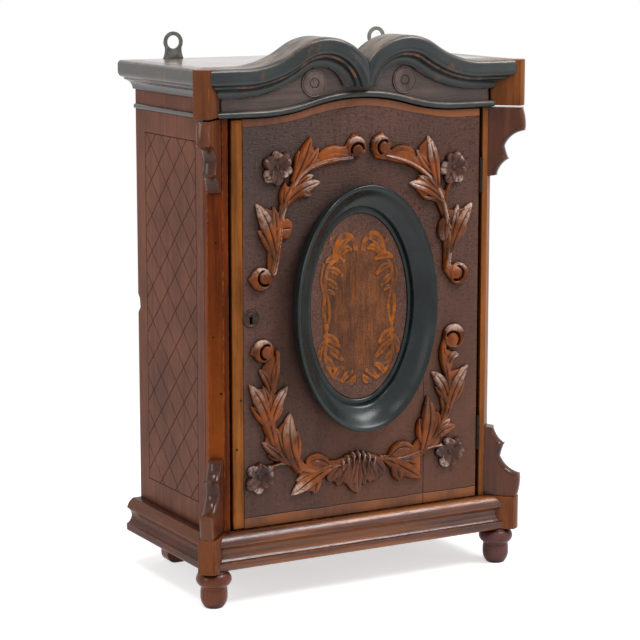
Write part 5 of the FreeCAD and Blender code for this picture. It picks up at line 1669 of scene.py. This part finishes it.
class MakeSprays(bpy.types.Operator):
    """Carved leaf sprays and the palmette between the lower two"""

    bl_idname = "cabinet.sprays"
    bl_label = "Carved sprays"

    def execute(self, context):
        step = context.scene.cabinet_sizes.net / MM
        for name, spray in SPRAYS.items():
            relief = spray_relief(name + "_spray", step, spray["lift"])
            for stem in spray["stems"]:
                relief.stem(*stem)
            leaf_rows(relief, spray["lobes"])
            for scroll in spray["scrolls"]:
                relief.scroll(*scroll)
            carving = relief.piece(name + "_carving", "carved_finish", SPRAY_SHIFT, spray["lift"])
            stand_in(carving, name + "_spray")

        relief = spray_relief("centre_palmette", step, PALMETTE_LIFT)
        leaf_rows(relief, PALMETTE_LOBES, 1.0, 1.4)
        for start, stop, foot in PALMETTE_FOLDS:
            crown = PALMETTE_CROWN - 0.016 * start**2
            line = [(start, crown), (0.8 * stop, PALMETTE_MIDDLE), (stop, foot)]
            relief.stem(line, 3.6, 1.0, 8.4)
            # Short heads at the crown with a painted highlight along one side.
            relief.stem([(start, crown), (0.96 * start, crown - 10)], 3.9, 2.4, 9.4, 0, 1.6)
        carving = relief.piece("palmette_carving", "palmette_finish", SPRAY_SHIFT, PALMETTE_LIFT)
        stand_in(carving, "centre_palmette")
        return {"FINISHED"}


class MakeFlowers(bpy.types.Operator):
    """Four carved flowers"""

    bl_idname = "cabinet.flowers"
    bl_label = "Carved flowers"

    def execute(self, context):
        step = context.scene.cabinet_sizes.net / MM
        flowers = []
        for number, (x, z, radius, lift) in enumerate(FLOWERS, start=1):
            relief = relief_round(x, z, radius, 4, step)
            centre = np.array([x, z])
            for petal in range(PETALS):
                sway = 10 * math.sin(2.4 * petal + number)
                angle = math.radians(360 / PETALS * petal + 25 * number + sway)
                way = np.array([math.cos(angle), math.sin(angle)])
                side = np.array([-way[1], way[0]]) * radius * 0.12
                reach = radius * (0.93 + 0.07 * math.cos(1.7 * petal + number))
                base, tip = centre + way * 2, centre + way * reach
                bend = centre + way * radius * 0.6 + side
                pale = PETAL_HIGHLIGHTS[(petal + number) % PETALS]
                relief.petal(base, bend, tip, radius * 0.44, PETAL_RISE - 1.6 * (petal % 2), pale)
            relief.ball(x, z, radius * 0.16, 4.4)
            flower = relief.piece(f"flower_{number}", "flower_finish", FLOWER_SHIFT, lift)
            flowers.append(flower)
        stand_in(flowers[0], "carved_flowers")
        for flower in flowers[1:]:
            beside(flower, "carved_flowers")
        return {"FINISHED"}


OPERATORS = (
    MakeFinishes,
    MakeStage,
    MakeSidePanels,
    MakeCase,
    MakeInside,
    MakeHardware,
    MakeDoor,
    MakeOval,
    MakeMedallion,
    MakeSprays,
    MakeFlowers,
)


class CabinetPanel(bpy.types.Panel):
    """Cabinet pieces in the sidebar"""

    bl_idname = "VIEW3D_PT_cabinet"
    bl_label = "Carved cabinet"
    bl_space_type = "VIEW_3D"
    bl_region_type = "UI"
    bl_category = "Cabinet"

    def draw(self, context):
        for operator in OPERATORS:
            self.layout.operator(operator.bl_idname)
        for group in (context.scene.cabinet_sizes, context.scene.cabinet_colours):
            for name in group.__annotations__:
                self.layout.prop(group, name)


CLASSES = (CabinetColours, CabinetSizes, *OPERATORS, CabinetPanel)


def register():
    for each in CLASSES:
        bpy.utils.register_class(each)
    bpy.types.Scene.cabinet_colours = PointerProperty(type=CabinetColours)
    bpy.types.Scene.cabinet_sizes = PointerProperty(type=CabinetSizes)


def unregister():
    del bpy.types.Scene.cabinet_sizes
    del bpy.types.Scene.cabinet_colours
    for each in reversed(CLASSES):
        bpy.utils.unregister_class(each)


def main():
    register()
    bpy.ops.cabinet.finishes()
    bpy.ops.cabinet.stage()
    bpy.ops.cabinet.side_panels()
    bpy.ops.cabinet.case()
    bpy.ops.cabinet.inside()
    bpy.ops.cabinet.hardware()
    bpy.ops.cabinet.door()
    bpy.ops.cabinet.oval_frame()
    bpy.ops.cabinet.medallion()
    bpy.ops.cabinet.sprays()
    bpy.ops.cabinet.flowers()
    boxes = {"cad": cad_box, "visual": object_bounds()}
    boxes = {name: [[round(edge, 6) for edge in corner] for corner in box] for name, box in boxes.items()}


if __name__ == "__main__":
    main()
